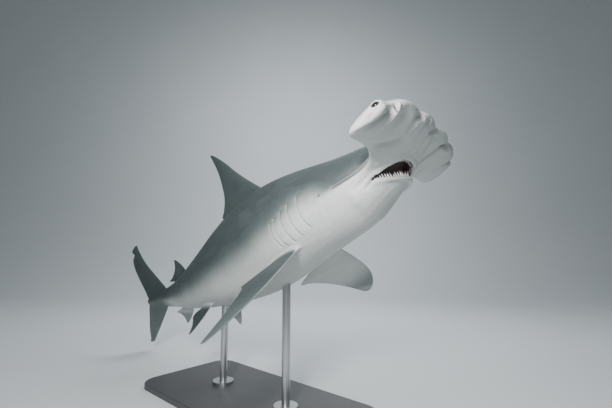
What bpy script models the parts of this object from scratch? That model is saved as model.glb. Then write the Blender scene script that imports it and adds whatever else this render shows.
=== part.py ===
"""A great hammerhead shark, a life-size still model in a swimming pose on a plain display stand.

Metres, +Z up. The snout points to +X and the shark's right side to -Y. The origin is the centre of
the stand's underside. Body shapes are worked out along a straight body first, in fractions of the
total length: x from the snout to the tail, y to the shark's right and z up. The spine then bends them.
"""

import math

import bmesh
import bpy
import numpy as np
from mathutils import Matrix, Vector

# Driving sizes, in metres
TOTAL_LENGTH = 3.30
GAP = 0.0003
HALF_GAP = GAP / 2 / TOTAL_LENGTH

# The swimming pose, in degrees
BODY_PITCH = 22.44
BODY_BANK = 3.07
HEAD_TURN = 8.1
HEAD_LIFT = 11.4
HEAD_ROLL = 4.7
TAIL_SWING = -8.69
TAIL_SWING_BACK = 18.5
TAIL_LIFT = -9.8

# Where the spine crosses the pivot station, in metres
PIVOT = 0.30
PIVOT_AT = (0.20, 0.0, 0.86)
SPINE_STEPS = 400

# Where the body is divided, as fractions of the total length
HEAD_END = 0.128
GILLS_END = 0.250
TORSO_END = 0.460
LOIN_END = 0.600
TAIL_END = 0.715

# The trunk: station, half width, height above the spine and depth below it
TRUNK = (
    (0.030, 0.026, 0.006, 0.008),
    (0.060, 0.038, 0.018, 0.014),
    (0.090, 0.044, 0.032, 0.028),
    (0.128, 0.050, 0.046, 0.0545),
    (0.170, 0.058, 0.060, 0.0600),
    (0.215, 0.065, 0.073, 0.0645),
    (0.260, 0.068, 0.083, 0.0715),
    (0.320, 0.068, 0.088, 0.077),
    (0.400, 0.062, 0.077, 0.071),
    (0.480, 0.050, 0.059, 0.058),
    (0.560, 0.036, 0.044, 0.045),
    (0.640, 0.024, 0.031, 0.032),
    (0.715, 0.014, 0.021, 0.021),
    (0.760, 0.008, 0.016, 0.012),
    (0.800, 0.003, 0.009, 0.005),
)
RING_POINTS = 40
RING_STEP = 0.0180

# The hammer, by distance from the middle: front edge, rear edge, half thickness above and below
HAMMER = (
    (0.0000, 0.0088, 0.1150, 0.0190, 0.0125),
    (0.0100, 0.0060, 0.1130, 0.0188, 0.0124),
    (0.0250, 0.0034, 0.1060, 0.0178, 0.0120),
    (0.0410, 0.0056, 0.0920, 0.0162, 0.0116),
    (0.0510, 0.0097, 0.0840, 0.0148, 0.0112),
    (0.0610, 0.0088, 0.0785, 0.0136, 0.0108),
    (0.0780, 0.0094, 0.0752, 0.0126, 0.0102),
    (0.0940, 0.0152, 0.0748, 0.0119, 0.0098),
    (0.1040, 0.0232, 0.0754, 0.0113, 0.0094),
    (0.1090, 0.0266, 0.0750, 0.0107, 0.0090),
    (0.1130, 0.0292, 0.0735, 0.0096, 0.0080),
    (0.1165, 0.0325, 0.0685, 0.0080, 0.0070),
    (0.1185, 0.0350, 0.0600, 0.0060, 0.0054),
    (0.1200, 0.0385, 0.0520, 0.0032, 0.0030),
)
HAMMER_DROP = 0.0105
# The head is turned a little on the jaws: its shift to the right, and how far its right side trails
HAMMER_SHIFT = 0.0050
HAMMER_SKEW = 0.022
HAMMER_STATIONS = 41
HAMMER_CHORD_POINTS = 14

# The mouth: station, half width, roof and floor of the gape
GAPE = (
    (0.0560, 0.0020, -0.0120, -0.0380),
    (0.0576, 0.0150, -0.0095, -0.0380),
    (0.0630, 0.0232, -0.0070, -0.0372),
    (0.0700, 0.0288, -0.0055, -0.0358),
    (0.0800, 0.0332, -0.0055, -0.0338),
    (0.0900, 0.0348, -0.0075, -0.0290),
    (0.1000, 0.0355, -0.0140, -0.0254),
    (0.1080, 0.0360, -0.0220, -0.0244),
)
# The lower jaw's bulge: station, half width, depth
JAW = (
    (0.0690, 0.0050, 0.0385),
    (0.0710, 0.0110, 0.0395),
    (0.0740, 0.0165, 0.0408),
    (0.0800, 0.0245, 0.0425),
    (0.0880, 0.0305, 0.0443),
    (0.0960, 0.0345, 0.0458),
    (0.1070, 0.0375, 0.0492),
    (0.1270, 0.0430, 0.0530),
)
JAW_RIM = 0.0060
BOWL_DEPTH = 0.0055
GAPE_OVERCUT = 0.0040
MOUTH_CORNER = 0.1080

# Edges that carry the teeth and lips, on one side: station, half width and height
LOWER_EDGE = (
    (0.0718, 0.0000, -0.0356),
    (0.0735, 0.0080, -0.0352),
    (0.0800, 0.0185, -0.0338),
    (0.0880, 0.0262, -0.0300),
    (0.0960, 0.0302, -0.0266),
    (0.1020, 0.0322, -0.0252),
)
UPPER_EDGE = (
    (0.0562, 0.0000, -0.0215),
    (0.0578, 0.0148, -0.0215),
    (0.0630, 0.0229, -0.0218),
    (0.0700, 0.0284, -0.0220),
    (0.0800, 0.0328, -0.0220),
    (0.0960, 0.0350, -0.0220),
)

# Teeth: count, sunk root, height over it and foot radius in metres, and lean towards the mouth
TOOTH_POINT = 0.0004
LOWER_TEETH = {"count": 25, "root": 0.005, "height": 0.0165, "radius": 0.0050, "lean": -0.15}
UPPER_TEETH = {"count": 25, "root": -0.006, "height": -0.0150, "radius": 0.0055, "lean": 0.35}
TOOTH_FADE = 0.50

# Lips: how far outside the teeth, and their radius, in metres
LOWER_LIP = {"outwards": 0.0120, "rise": -0.0068, "radius": 0.0060}
UPPER_LIP = {"outwards": 0.0060, "rise": -0.0040, "radius": 0.0060}

# Eyes
EYE_AT = (0.0357, 0.1135, -0.0094)
EYE_RADIUS = 0.0190
LID_RADIUS = 0.0050

# Nostrils: each slit's outer and inner ends under the hammer, and its width and depth in metres
NOSTRIL_ENDS = ((0.0224, 0.1026), (0.0257, 0.0936))
NOSTRIL_LEVEL = -0.0190
NOSTRIL_WIDTH = 0.006
NOSTRIL_DEPTH = 0.030

# Gill slits: station of each slit's middle, and the heights of its ends
GILL_SLITS = (
    (0.1905, 0.0110, -0.0320),
    (0.2075, 0.0080, -0.0365),
    (0.2220, 0.0040, -0.0385),
    (0.2355, 0.0000, -0.0395),
    (0.2435, -0.0030, -0.0375),
)
SLIT_BOW = 0.0030
SLIT_WIDTH = 0.0055
SLIT_DEPTH = 0.0160
SLIT_END = 0.12

# Fins: height from the root along the fin, front edge and rear edge
FIRST_DORSAL = (
    (0.0600, 0.2680, 0.3860),
    (0.0820, 0.2870, 0.3960),
    (0.0880, 0.2920, 0.4120),
    (0.0930, 0.2970, 0.4190),
    (0.1010, 0.3040, 0.4120),
    (0.1200, 0.3200, 0.4000),
    (0.1500, 0.3430, 0.3950),
    (0.1800, 0.3630, 0.3960),
    (0.2050, 0.3820, 0.4010),
    (0.2190, 0.3950, 0.4050),
    (0.2260, 0.4030, 0.4070),
)
SECOND_DORSAL = (
    (0.0180, 0.5860, 0.6460),
    (0.0290, 0.5930, 0.6680),
    (0.0330, 0.5960, 0.6970),
    (0.0390, 0.6010, 0.6860),
    (0.0500, 0.6120, 0.6700),
    (0.0620, 0.6280, 0.6620),
    (0.0720, 0.6460, 0.6620),
    (0.0770, 0.6560, 0.6620),
)
ANAL = (
    (0.0200, 0.5780, 0.6360),
    (0.0330, 0.5860, 0.6560),
    (0.0370, 0.5890, 0.6780),
    (0.0440, 0.5950, 0.6620),
    (0.0520, 0.6050, 0.6480),
    (0.0600, 0.6170, 0.6400),
    (0.0660, 0.6300, 0.6380),
)
CAUDAL = (
    (-0.0940, 0.8180, 0.8220),
    (-0.0880, 0.8080, 0.8200),
    (-0.0720, 0.7850, 0.8150),
    (-0.0550, 0.7630, 0.8090),
    (-0.0380, 0.7420, 0.8030),
    (-0.0210, 0.7220, 0.7990),
    (0.0000, 0.7160, 0.7970),
    (0.0220, 0.7220, 0.8060),
    (0.0400, 0.7450, 0.8200),
    (0.0700, 0.7850, 0.8480),
    (0.1000, 0.8260, 0.8780),
    (0.1300, 0.8660, 0.9060),
    (0.1470, 0.8890, 0.9150),
    (0.1570, 0.9030, 0.9340),
    (0.1680, 0.9180, 0.9420),
    (0.1800, 0.9350, 0.9420),
)
PECTORAL = (
    (-0.0220, -0.0080, 0.0480),
    (0.0000, 0.0000, 0.0600),
    (0.0080, 0.0010, 0.0900),
    (0.0160, 0.0018, 0.1100),
    (0.0280, 0.0026, 0.0990),
    (0.0500, 0.0055, 0.0870),
    (0.0750, 0.0100, 0.0790),
    (0.1000, 0.0180, 0.0740),
    (0.1240, 0.0320, 0.0710),
    (0.1410, 0.0470, 0.0690),
    (0.1490, 0.0580, 0.0660),
)
PELVIC = (
    (-0.014, -0.004, 0.040),
    (0.000, 0.000, 0.044),
    (0.006, 0.003, 0.060),
    (0.012, 0.006, 0.064),
    (0.024, 0.013, 0.055),
    (0.036, 0.023, 0.048),
    (0.046, 0.033, 0.046),
    (0.052, 0.041, 0.045),
)
CAUDAL_CURL = 0.070
SPAN_POINTS = 12
CHORD_POINTS = 10
FIN_EDGE = 0.0012

SHARP_ANGLE = 40.0

# The stand, in metres
BASE_SIZE = (1.30, 0.62, 0.030)
BASE_CORNER = 0.10
BASE_BEVEL = 0.006
ROD_RADIUS = 0.021
ROD_FLANGE_RADIUS = 0.060
ROD_FLANGE_HEIGHT = 0.016
ROD_STATIONS = {"stand_rod_front": 0.275, "stand_rod_rear": 0.445}

COLOURS = {
    "skin": (0.36, 0.40, 0.40, 1.0),
    "eye": (0.02, 0.02, 0.02, 1.0),
    "stand": (0.10, 0.10, 0.11, 1.0),
}
FINISHES = {"skin": (0.45, 0.0), "eye": (0.08, 0.0), "stand": (0.40, 1.0)}


def smooth_step(t):
    t = np.clip(t, 0.0, 1.0)
    return t * t * (3.0 - 2.0 * t)


def turn_x(angle):
    c, s = math.cos(angle), math.sin(angle)
    return np.array([[1, 0, 0], [0, c, -s], [0, s, c]])


def turn_y(angle):
    c, s = math.cos(angle), math.sin(angle)
    return np.array([[c, 0, s], [0, 1, 0], [-s, 0, c]])


def turn_z(angle):
    c, s = math.cos(angle), math.sin(angle)
    return np.array([[c, -s, 0], [s, c, 0], [0, 0, 1]])


class Spine:
    """The bent line that carries the body, and the axes across it at each station."""

    def __init__(self):
        u = np.linspace(0.0, 1.0, SPINE_STEPS + 1)
        at_head = smooth_step((0.20 - u) / 0.12)
        yaw = HEAD_TURN * at_head + TAIL_SWING * smooth_step((u - 0.35) / 0.30)
        yaw += TAIL_SWING_BACK * smooth_step((u - 0.62) / 0.20)
        pitch = HEAD_LIFT * at_head + TAIL_LIFT * smooth_step((u - 0.35) / 0.35)
        roll = HEAD_ROLL * at_head
        angles = np.radians(np.stack([yaw, pitch, roll], axis=1))
        self.axes = np.array([turn_z(a) @ turn_y(b) @ turn_x(c) for a, b, c in angles])
        tangents = self.axes[:, :, 0]
        self.centres = np.zeros((SPINE_STEPS + 1, 3))
        self.centres[1:] = np.cumsum((tangents[1:] + tangents[:-1]) / 2 / SPINE_STEPS, axis=0)
        self.centres -= self.centres[int(round(PIVOT * SPINE_STEPS))]
        facing = np.diag([-1.0, -1.0, 1.0])
        lean = turn_y(-math.radians(BODY_PITCH)) @ turn_x(math.radians(BODY_BANK))
        self.stance = lean @ facing

    def place(self, points):
        """World positions, in metres, of points given in fractions along the straight body."""
        points = np.asarray(points, dtype=float)
        flat = points.reshape(-1, 3)
        inside = np.clip(flat[:, 0], 0.0, 1.0)
        step = inside * SPINE_STEPS
        low = np.minimum(step.astype(int), SPINE_STEPS - 1)
        part = (step - low)[:, None]
        centre = self.centres[low] * (1 - part) + self.centres[low + 1] * part
        axes = self.axes[low] * (1 - part[:, :, None]) + self.axes[low + 1] * part[:, :, None]
        across = np.stack([flat[:, 0] - inside, flat[:, 1], flat[:, 2]], axis=1)
        bent = centre + np.einsum("nij,nj->ni", axes, across)
        world = bent @ self.stance.T * TOTAL_LENGTH + np.array(PIVOT_AT)
        return world.reshape(points.shape)


SPINE = Spine()


def read_table(table, at):
    """The table's columns at the places given, on smooth curves through its rows."""
    rows = np.array(table, dtype=float)
    keys, values = rows[:, 0], rows[:, 1:]
    slopes = np.gradient(values, keys, axis=0)
    at = np.clip(np.asarray(at, dtype=float), keys[0], keys[-1])
    low = np.clip(np.searchsorted(keys, at, side="right") - 1, 0, len(keys) - 2)
    width = (keys[low + 1] - keys[low])[:, None]
    t = (at - keys[low])[:, None] / width
    start, end = values[low], values[low + 1]
    rise, fall = slopes[low] * width, slopes[low + 1] * width
    return (
        (2 * t**3 - 3 * t**2 + 1) * start
        + (t**3 - 2 * t**2 + t) * rise
        + (3 * t**2 - 2 * t**3) * end
        + (t**3 - t**2) * fall
    ).T


def material(name):
    """The Principled material of one finish, made on its first use."""
    found = bpy.data.materials.get(name)
    if found:
        return found
    made = bpy.data.materials.new(name)
    made.use_nodes = True
    shader = made.node_tree.nodes["Principled BSDF"]
    roughness, metallic = FINISHES[name]
    shader.inputs["Base Color"].default_value = COLOURS[name]
    shader.inputs["Roughness"].default_value = roughness
    shader.inputs["Metallic"].default_value = metallic
    return made


def add_mesh(name, points, faces):
    """An object with these points and faces, its faces turned outwards."""
    mesh = bpy.data.meshes.new(name)
    mesh.from_pydata([tuple(p) for p in points], [], faces)
    shape = bmesh.new()
    shape.from_mesh(mesh)
    bmesh.ops.recalc_face_normals(shape, faces=shape.faces)
    shape.to_mesh(mesh)
    shape.free()
    made = bpy.data.objects.new(name, mesh)
    bpy.context.scene.collection.objects.link(made)
    return made


def loft(name, rings):
    """A closed skin over rings of equal count, with a flat cap at each end."""
    count, around = rings.shape[:2]
    faces = []
    for i in range(count - 1):
        for j in range(around):
            k = (j + 1) % around
            here, after = i * around, (i + 1) * around
            faces.append((here + j, here + k, after + k))
            faces.append((here + j, after + k, after + j))
    faces.append(tuple(range(around)))
    faces.append(tuple(range((count - 1) * around, count * around)))
    return add_mesh(name, rings.reshape(-1, 3), faces)


def stations_between(start, end):
    """Evenly spaced ring stations of one piece of the trunk, half a gap short at each end."""
    count = max(3, int(math.ceil((end - start) / RING_STEP)) + 1)
    return np.linspace(start + HALF_GAP, end - HALF_GAP, count)


def trunk(name, stations, extra=0.0):
    """The trunk through the given ring stations, grown outwards by extra metres."""
    width, above, below = read_table(TRUNK, stations) + extra / TOTAL_LENGTH
    angle = np.linspace(0.0, 2 * math.pi, RING_POINTS, endpoint=False)
    reach = np.where(np.sin(angle) > 0, above[:, None], below[:, None])
    rings = np.zeros((len(stations), RING_POINTS, 3))
    rings[:, :, 0] = np.array(stations)[:, None]
    rings[:, :, 1] = width[:, None] * np.cos(angle)
    rings[:, :, 2] = reach * np.sin(angle)
    return loft(name, SPINE.place(rings))


def apply_modifiers(thing):
    """Replaces a mesh by what its modifiers make of it."""
    graph = bpy.context.evaluated_depsgraph_get()
    graph.update()
    old = thing.data
    thing.data = bpy.data.meshes.new_from_object(thing.evaluated_get(graph))
    thing.modifiers.clear()
    bpy.data.meshes.remove(old)


def keep_largest(thing):
    """Leaves only the largest closed surface of a mesh, split into triangles."""
    shape = bmesh.new()
    shape.from_mesh(thing.data)
    bmesh.ops.triangulate(shape, faces=shape.faces)
    left = set(shape.faces)
    pieces = []
    while left:
        seed = left.pop()
        piece, edge = {seed}, [seed]
        while edge:
            near = {face for side in edge.pop().edges for face in side.link_faces} - piece
            piece |= near
            edge.extend(near)
        left -= piece
        pieces.append(piece)
    sizes = [sum(face.calc_area() for face in piece) for piece in pieces]
    best = pieces[sizes.index(max(sizes))]
    drop = [face for piece in pieces if piece is not best for face in piece]
    bmesh.ops.delete(shape, geom=drop, context="FACES")
    shape.to_mesh(thing.data)
    shape.free()


def combine(target, operation, others, solver="EXACT"):
    """One Boolean of the target with all the others, which are then removed."""
    group = bpy.data.collections.new("operands")
    bpy.context.scene.collection.children.link(group)
    for other in others:
        group.objects.link(other)
        bpy.context.scene.collection.objects.unlink(other)
    cut = target.modifiers.new(operation.lower(), "BOOLEAN")
    cut.operation = operation
    cut.operand_type = "COLLECTION"
    cut.collection = group
    cut.solver = solver
    apply_modifiers(target)
    for other in others:
        bpy.data.objects.remove(other)
    bpy.data.collections.remove(group)
    keep_largest(target)
    return target


def copy_of(thing, name):
    """A second object with its own copy of a mesh."""
    made = bpy.data.objects.new(name, thing.data.copy())
    bpy.context.scene.collection.objects.link(made)
    return made


def airfoil(chord):
    """Half thickness of a blunt-nosed wing section along its chord, 1 at its thickest."""
    return 2.969 * np.sqrt(chord) - 1.26 * chord - 3.516 * chord**2 + 2.843 * chord**3 - 1.036 * chord**4


def on_hammer(x, y, side):
    """Where a place of the head's own table lies on one side of the body."""
    return x + HAMMER_SKEW * side * y, side * y + HAMMER_SHIFT


def hammer(name):
    """The flat, wide head as a wing, lofted from one side to the other."""
    spread = np.sin(np.linspace(-0.46, 0.46, HAMMER_STATIONS) * math.pi)
    stations = HAMMER[-1][0] * spread / spread[-1]
    front, rear, above, below = read_table(HAMMER, np.abs(stations))
    chord = (1 - np.cos(np.linspace(0, math.pi, HAMMER_CHORD_POINTS + 1))) / 2
    ellipse = np.sqrt(np.clip(1 - (2 * chord - 1) ** 2, 0, None))
    section = 0.55 * ellipse + 0.45 * airfoil(chord)
    rings = []
    for y, f, r, a, b in zip(stations, front, rear, above, below):
        x = f + (r - f) * chord + HAMMER_SKEW * y
        level = np.full_like(x, y + HAMMER_SHIFT)
        top = np.stack([x, level, section * a - HAMMER_DROP], axis=1)
        under = np.stack([x, level, -section * b - HAMMER_DROP], axis=1)[-2:0:-1]
        rings.append(np.concatenate([top, under]))
    return loft(name, SPINE.place(np.array(rings)))


def oval_loft(name, stations, widths, tops, bottoms, around=24):
    """A loft along the body of ovals with these half widths, tops and bottoms."""
    angle = np.linspace(0.0, 2 * math.pi, around, endpoint=False)
    rings = np.zeros((len(stations), around, 3))
    rings[:, :, 0] = np.array(stations)[:, None]
    rings[:, :, 1] = np.array(widths)[:, None] * np.cos(angle)
    middle, half = (np.array(tops) + bottoms) / 2, (np.array(tops) - bottoms) / 2
    rings[:, :, 2] = middle[:, None] + half[:, None] * np.sin(angle)
    return loft(name, SPINE.place(rings))


def box_loft(name, stations, widths, tops, bottoms):
    """A loft along the body of rectangles with these half widths, tops and bottoms."""
    rings = []
    for x, w, top, bottom in zip(stations, widths, tops, bottoms):
        rings.append([(x, w, bottom), (x, w, top), (x, -w, top), (x, -w, bottom)])
    return loft(name, SPINE.place(np.array(rings)))


def jaw_bulge(name):
    """The throat and chin, which hang below the hammer."""
    rows = np.linspace(JAW[0][0], JAW[-1][0], 14)
    width, depth = read_table(JAW, rows)
    return oval_loft(name, rows, width, np.zeros(14) - 0.004, -depth, 28)


def gape(name):
    """The open space between the jaws."""
    rows = np.linspace(GAPE[0][0], GAPE[-1][0], 14)
    width, roof, floor = read_table(GAPE, rows)
    return box_loft(name, rows, width, roof, floor - GAPE_OVERCUT)


def bowl(name):
    """The hollow floor of the mouth inside the lower jaw's rim."""
    rows = np.linspace(JAW[0][0] + JAW_RIM, MOUTH_CORNER - 0.004, 9)
    width, _ = read_table(JAW, rows)
    _, _, floor = read_table(GAPE, rows)
    dip = BOWL_DEPTH * np.sin(np.linspace(0.25, 0.9, 9) * math.pi)
    return oval_loft(name, rows, width - JAW_RIM, floor + 0.004, floor - dip, 16)


def jaw_block(name, margin):
    """The space that belongs to the lower jaw: all that lies below the gape's floor."""
    rows = np.array([0.0640, 0.0720, 0.0800, 0.0900, 0.1000, MOUTH_CORNER, HEAD_END + 0.01])
    tops = read_table(GAPE, rows)[2] + margin
    rows[0] -= margin
    return box_loft(name, rows, np.full(len(rows), 0.075 + margin), tops, np.full(len(rows), -0.075))


def along_edge(edge, count):
    """Evenly spaced places along a jaw's whole edge, with their outward directions."""
    side = np.array(edge)
    line = np.concatenate([side[:0:-1], side * (1, -1, 1)])
    steps = np.linalg.norm(np.diff(line[:, :2], axis=0), axis=1)
    run = np.concatenate([[0.0], np.cumsum(steps)])
    fine = np.linspace(0.0, run[-1], 121)
    path = np.stack([np.interp(fine, run, line[:, k]) for k in range(3)], axis=1)
    for _ in range(6):
        path[1:-1] = (path[:-2] + 2 * path[1:-1] + path[2:]) / 4
    slope = np.gradient(path, axis=0)
    outward = np.stack([-slope[:, 1], slope[:, 0], np.zeros(len(path))], axis=1)
    outward *= np.sign((outward * path * (0, 1, 0)).sum())
    outward /= np.linalg.norm(outward, axis=1)[:, None]
    picked = np.round(np.linspace(0, len(path) - 1, count)).astype(int)
    return path[picked], outward[picked]


def tooth(foot, tip, radius):
    """One pointed cone from its foot to its tip, both world places in metres."""
    axis = Vector(tip - foot)
    mesh = bpy.data.meshes.new("tooth")
    shape = bmesh.new()
    bmesh.ops.create_cone(
        shape, cap_ends=True, segments=5, radius1=radius, radius2=TOOTH_POINT, depth=axis.length
    )
    turn = Vector((0, 0, 1)).rotation_difference(axis).to_matrix().to_4x4()
    middle = Matrix.Translation(Vector((foot + tip) / 2))
    bmesh.ops.transform(shape, matrix=middle @ turn, verts=shape.verts)
    shape.to_mesh(mesh)
    shape.free()
    made = bpy.data.objects.new("tooth", mesh)
    bpy.context.scene.collection.objects.link(made)
    return made


def tooth_row(edge, row):
    """The teeth of one jaw along its edge, smaller towards the corners of the mouth."""
    made = []
    places, outward = along_edge(edge, row["count"] + 2)
    across = np.linspace(-1.0, 1.0, row["count"] + 2)
    for at, out, t in list(zip(places, outward, across))[1:-1]:
        size = 1.0 - TOOTH_FADE * t**2
        reach = row["height"] * size / TOTAL_LENGTH
        foot = at - np.array([0, 0, row["root"] / TOTAL_LENGTH])
        tip = foot + np.array([0, 0, reach]) + out * row["lean"] * reach
        ends = SPINE.place(np.array([foot, tip]))
        made.append(tooth(ends[0], ends[1], row["radius"] * size))
    return made


def lip(name, edge, form):
    """A soft rounded rim along one jaw, thinning out into the corners of the mouth."""
    count, around = 27, 8
    places, outward = along_edge(edge, count)
    fade = 1.0 - 0.55 * np.linspace(-1.0, 1.0, count) ** 4
    rings = []
    for at, out, size in zip(places, outward, fade):
        radius = form["radius"] * size / TOTAL_LENGTH
        centre = at + (out * form["outwards"] + np.array([0, 0, form["rise"]])) / TOTAL_LENGTH
        turns = 2 * math.pi * np.arange(around) / around
        spokes = np.cos(turns)[:, None] * out + np.sin(turns)[:, None] * np.array([0, 0, 1])
        rings.append(centre + radius * spokes)
    return loft(name, SPINE.place(np.array(rings)))


def eyeball(name, side, radius, segments=16, rings=10):
    """A sphere about the middle of one eye."""
    mesh = bpy.data.meshes.new(name)
    shape = bmesh.new()
    bmesh.ops.create_uvsphere(shape, u_segments=segments, v_segments=rings, radius=radius)
    x, y, z = EYE_AT
    at = Vector(SPINE.place(np.array([[*on_hammer(x, y, side), z]]))[0])
    bmesh.ops.translate(shape, vec=at, verts=shape.verts)
    shape.to_mesh(mesh)
    shape.free()
    made = bpy.data.objects.new(name, mesh)
    bpy.context.scene.collection.objects.link(made)
    return made


def lid(name, side):
    """The rounded rim of skin around an eye, a ring that faces out from the hammer's end."""
    x, y, z = EYE_AT
    outwards = np.array([-0.10, side * 0.98, 0.05])
    outwards /= np.linalg.norm(outwards)
    first = np.cross(outwards, [0.0, 0.0, 1.0])
    first /= np.linalg.norm(first)
    second = np.cross(outwards, first)
    around, thick = 20, 6
    ring_radius = EYE_RADIUS * 0.90 / TOTAL_LENGTH
    tube = LID_RADIUS / TOTAL_LENGTH
    centre = np.array([*on_hammer(x, y, side), z]) + outwards * EYE_RADIUS * 0.42 / TOTAL_LENGTH
    points, faces = [], []
    for i in range(around):
        a = 2 * math.pi * i / around
        spoke = math.cos(a) * first + 0.86 * math.sin(a) * second
        for j in range(thick):
            b = 2 * math.pi * j / thick
            beside = spoke * (ring_radius + tube * math.cos(b))
            points.append(centre + beside + outwards * tube * math.sin(b))
            nxt_i, nxt_j = (i + 1) % around, (j + 1) % thick
            faces.append(
                (i * thick + j, nxt_i * thick + j, nxt_i * thick + nxt_j, i * thick + nxt_j)
            )
    return add_mesh(name, SPINE.place(np.array(points)), faces)


def nostril(name, side):
    """A slit under the front edge of the hammer, just inside each eye."""
    half_width, half_depth = NOSTRIL_WIDTH / 2 / TOTAL_LENGTH, NOSTRIL_DEPTH / 2 / TOTAL_LENGTH
    rings = []
    for x, y in NOSTRIL_ENDS:
        ring = []
        for a, b in ((-1, -1), (1, -1), (1, 1), (-1, 1)):
            across, out = on_hammer(x, y, side)
            ring.append((across + a * half_width, out, NOSTRIL_LEVEL + b * half_depth))
        rings.append(ring)
    return loft(name, SPINE.place(np.array(rings)))


def gill_slit(name, side, station, top, bottom):
    """A curved blade that enters the body slantwise, so that the skin ahead of it is a flap."""
    heights = np.linspace(top, bottom, 9)
    along = np.linspace(-1, 1, 9)
    stations = station + SLIT_BOW * (1 - along**2) - SLIT_BOW / 2
    width, above, below = read_table(TRUNK, stations)
    reach = np.where(heights > 0, above, below)
    y = width * np.sqrt(1 - (heights / reach) ** 2)
    normal = np.stack([y / width**2, heights / reach**2], axis=1)
    normal /= np.linalg.norm(normal, axis=1)[:, None]
    fade = np.sqrt(np.clip(1 - along**2, SLIT_END, 1))
    deep = SLIT_DEPTH * fade / TOTAL_LENGTH
    wide = SLIT_WIDTH * fade / TOTAL_LENGTH
    proud = 0.012 / TOTAL_LENGTH
    rings = []
    for k in range(9):
        ring = []
        for out, shift in ((proud, 0.5), (proud, 1.5), (-deep[k], -0.9), (-deep[k], -1.3)):
            ring.append(
                (
                    stations[k] + shift * wide[k] + (out - proud) * 0.35,
                    side * (y[k] + normal[k, 0] * out),
                    heights[k] + normal[k, 1] * out,
                )
            )
        rings.append(ring)
    return loft(name, SPINE.place(np.array(rings)))


def fin(name, table, foot, span, chord, root_half, tip_half, span_points=SPAN_POINTS, curl=0.0):
    """A tapered fin whose two faces share one grid, split into the same triangles on both."""
    foot, span, chord = np.array(foot), np.array(span, dtype=float), np.array(chord, dtype=float)
    span /= np.linalg.norm(span)
    normal = np.cross(chord, span)
    normal /= np.linalg.norm(normal)
    start, end = table[0][0], table[-1][0]
    spread = np.linspace(0, 1, span_points + 1)
    heights = start + (end - start) * (1 - (1 - spread) ** 1.25)
    lead, trail = read_table(table, heights)
    grow = np.clip((end - heights) / (end - start), 0.0, 1.0)
    half = (tip_half + (root_half - tip_half) * grow**0.9) / TOTAL_LENGTH
    across = (1 - np.cos(np.linspace(0, 0.93 * math.pi, CHORD_POINTS + 1))) / 2
    across /= across[-1]
    edge = FIN_EDGE / TOTAL_LENGTH
    points, upper, lower = [], {}, {}
    for i, height in enumerate(heights):
        for j, c in enumerate(across):
            bend = curl * (height / end) ** 2
            middle = foot + span * height + chord * (lead[i] + (trail[i] - lead[i]) * c) + normal * bend
            if j in (0, CHORD_POINTS) or i == span_points:
                points.append(middle)
                upper[i, j] = lower[i, j] = len(points) - 1
                continue
            thick = max(half[i] * airfoil(c), edge)
            points.append(middle + normal * thick)
            upper[i, j] = len(points) - 1
            points.append(middle - normal * thick)
            lower[i, j] = len(points) - 1
    faces = []
    for i in range(span_points):
        for j in range(CHORD_POINTS):
            a, b, c, d = (i, j), (i, j + 1), (i + 1, j + 1), (i + 1, j)
            halves = ((a, b, d), (b, c, d)) if j == 0 else ((a, b, c), (a, c, d))
            for half_face in halves:
                faces.append(tuple(upper[p] for p in half_face))
                faces.append(tuple(lower[p] for p in reversed(half_face)))
    root = [upper[0, j] for j in range(CHORD_POINTS + 1)]
    root += [lower[0, j] for j in range(CHORD_POINTS - 1, 0, -1)]
    faces.append(tuple(root))
    return add_mesh(name, SPINE.place(np.array(points)), faces)


def body_cutter():
    """The trunk on the rings of its own pieces, grown by the gap that other pieces keep to it."""
    cuts = (HEAD_END, GILLS_END, TORSO_END, LOIN_END, TAIL_END)
    stations = np.concatenate([stations_between(a, b) for a, b in zip(cuts, cuts[1:])])
    return trunk("cutter", stations, GAP)


def rooted(thing):
    """Cuts a fin or rod clear of the trunk it meets."""
    return combine(thing, "DIFFERENCE", [body_cutter()])


def cut_ahead(thing, station):
    """Cuts off all of a thing that lies ahead of a station, square to the spine."""
    shape = bmesh.new()
    shape.from_mesh(thing.data)
    at, behind = SPINE.place(np.array([[station, 0, 0], [station + 0.001, 0, 0]]))
    cut = bmesh.ops.bisect_plane(
        shape,
        geom=shape.verts[:] + shape.edges[:] + shape.faces[:],
        plane_co=Vector(at),
        plane_no=Vector(behind - at),
        clear_inner=True,
    )
    rim = [item for item in cut["geom_cut"] if isinstance(item, bmesh.types.BMEdge)]
    bmesh.ops.edgeloop_fill(shape, edges=rim)
    bmesh.ops.recalc_face_normals(shape, faces=shape.faces)
    shape.to_mesh(thing.data)
    shape.free()
    keep_largest(thing)
    return thing


def caudal_fin():
    """The tail fin, its long upper lobe stiffened by the end of the trunk."""
    made = fin("caudal_fin", CAUDAL, (0, 0, 0), (0, 0, 1), (1, 0, 0), 0.020, 0.004, 20, CAUDAL_CURL)
    combine(made, "UNION", [trunk("fin_root", np.linspace(TAIL_END - 0.01, TRUNK[-1][0], 8))])
    return cut_ahead(made, TAIL_END + HALF_GAP)


def pectoral(name, side, dihedral, incidence):
    lift = math.radians(dihedral)
    span = (0.0, side * math.cos(lift), -math.sin(lift))
    up = np.array([0.0, side * math.sin(lift), math.cos(lift)])
    tilt = math.radians(incidence)
    chord = math.cos(tilt) * np.array([1.0, 0, 0]) + math.sin(tilt) * up
    return rooted(fin(name, PECTORAL, (0.226, side * 0.052, -0.050), span, chord, 0.017, 0.003))


def pelvic(name, side, drop):
    lift = math.radians(drop)
    span = (0.0, side * math.cos(lift), -math.sin(lift))
    return rooted(fin(name, PELVIC, (0.468, side * 0.026, -0.050), span, (1, 0, 0), 0.009, 0.002, 9))


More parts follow.
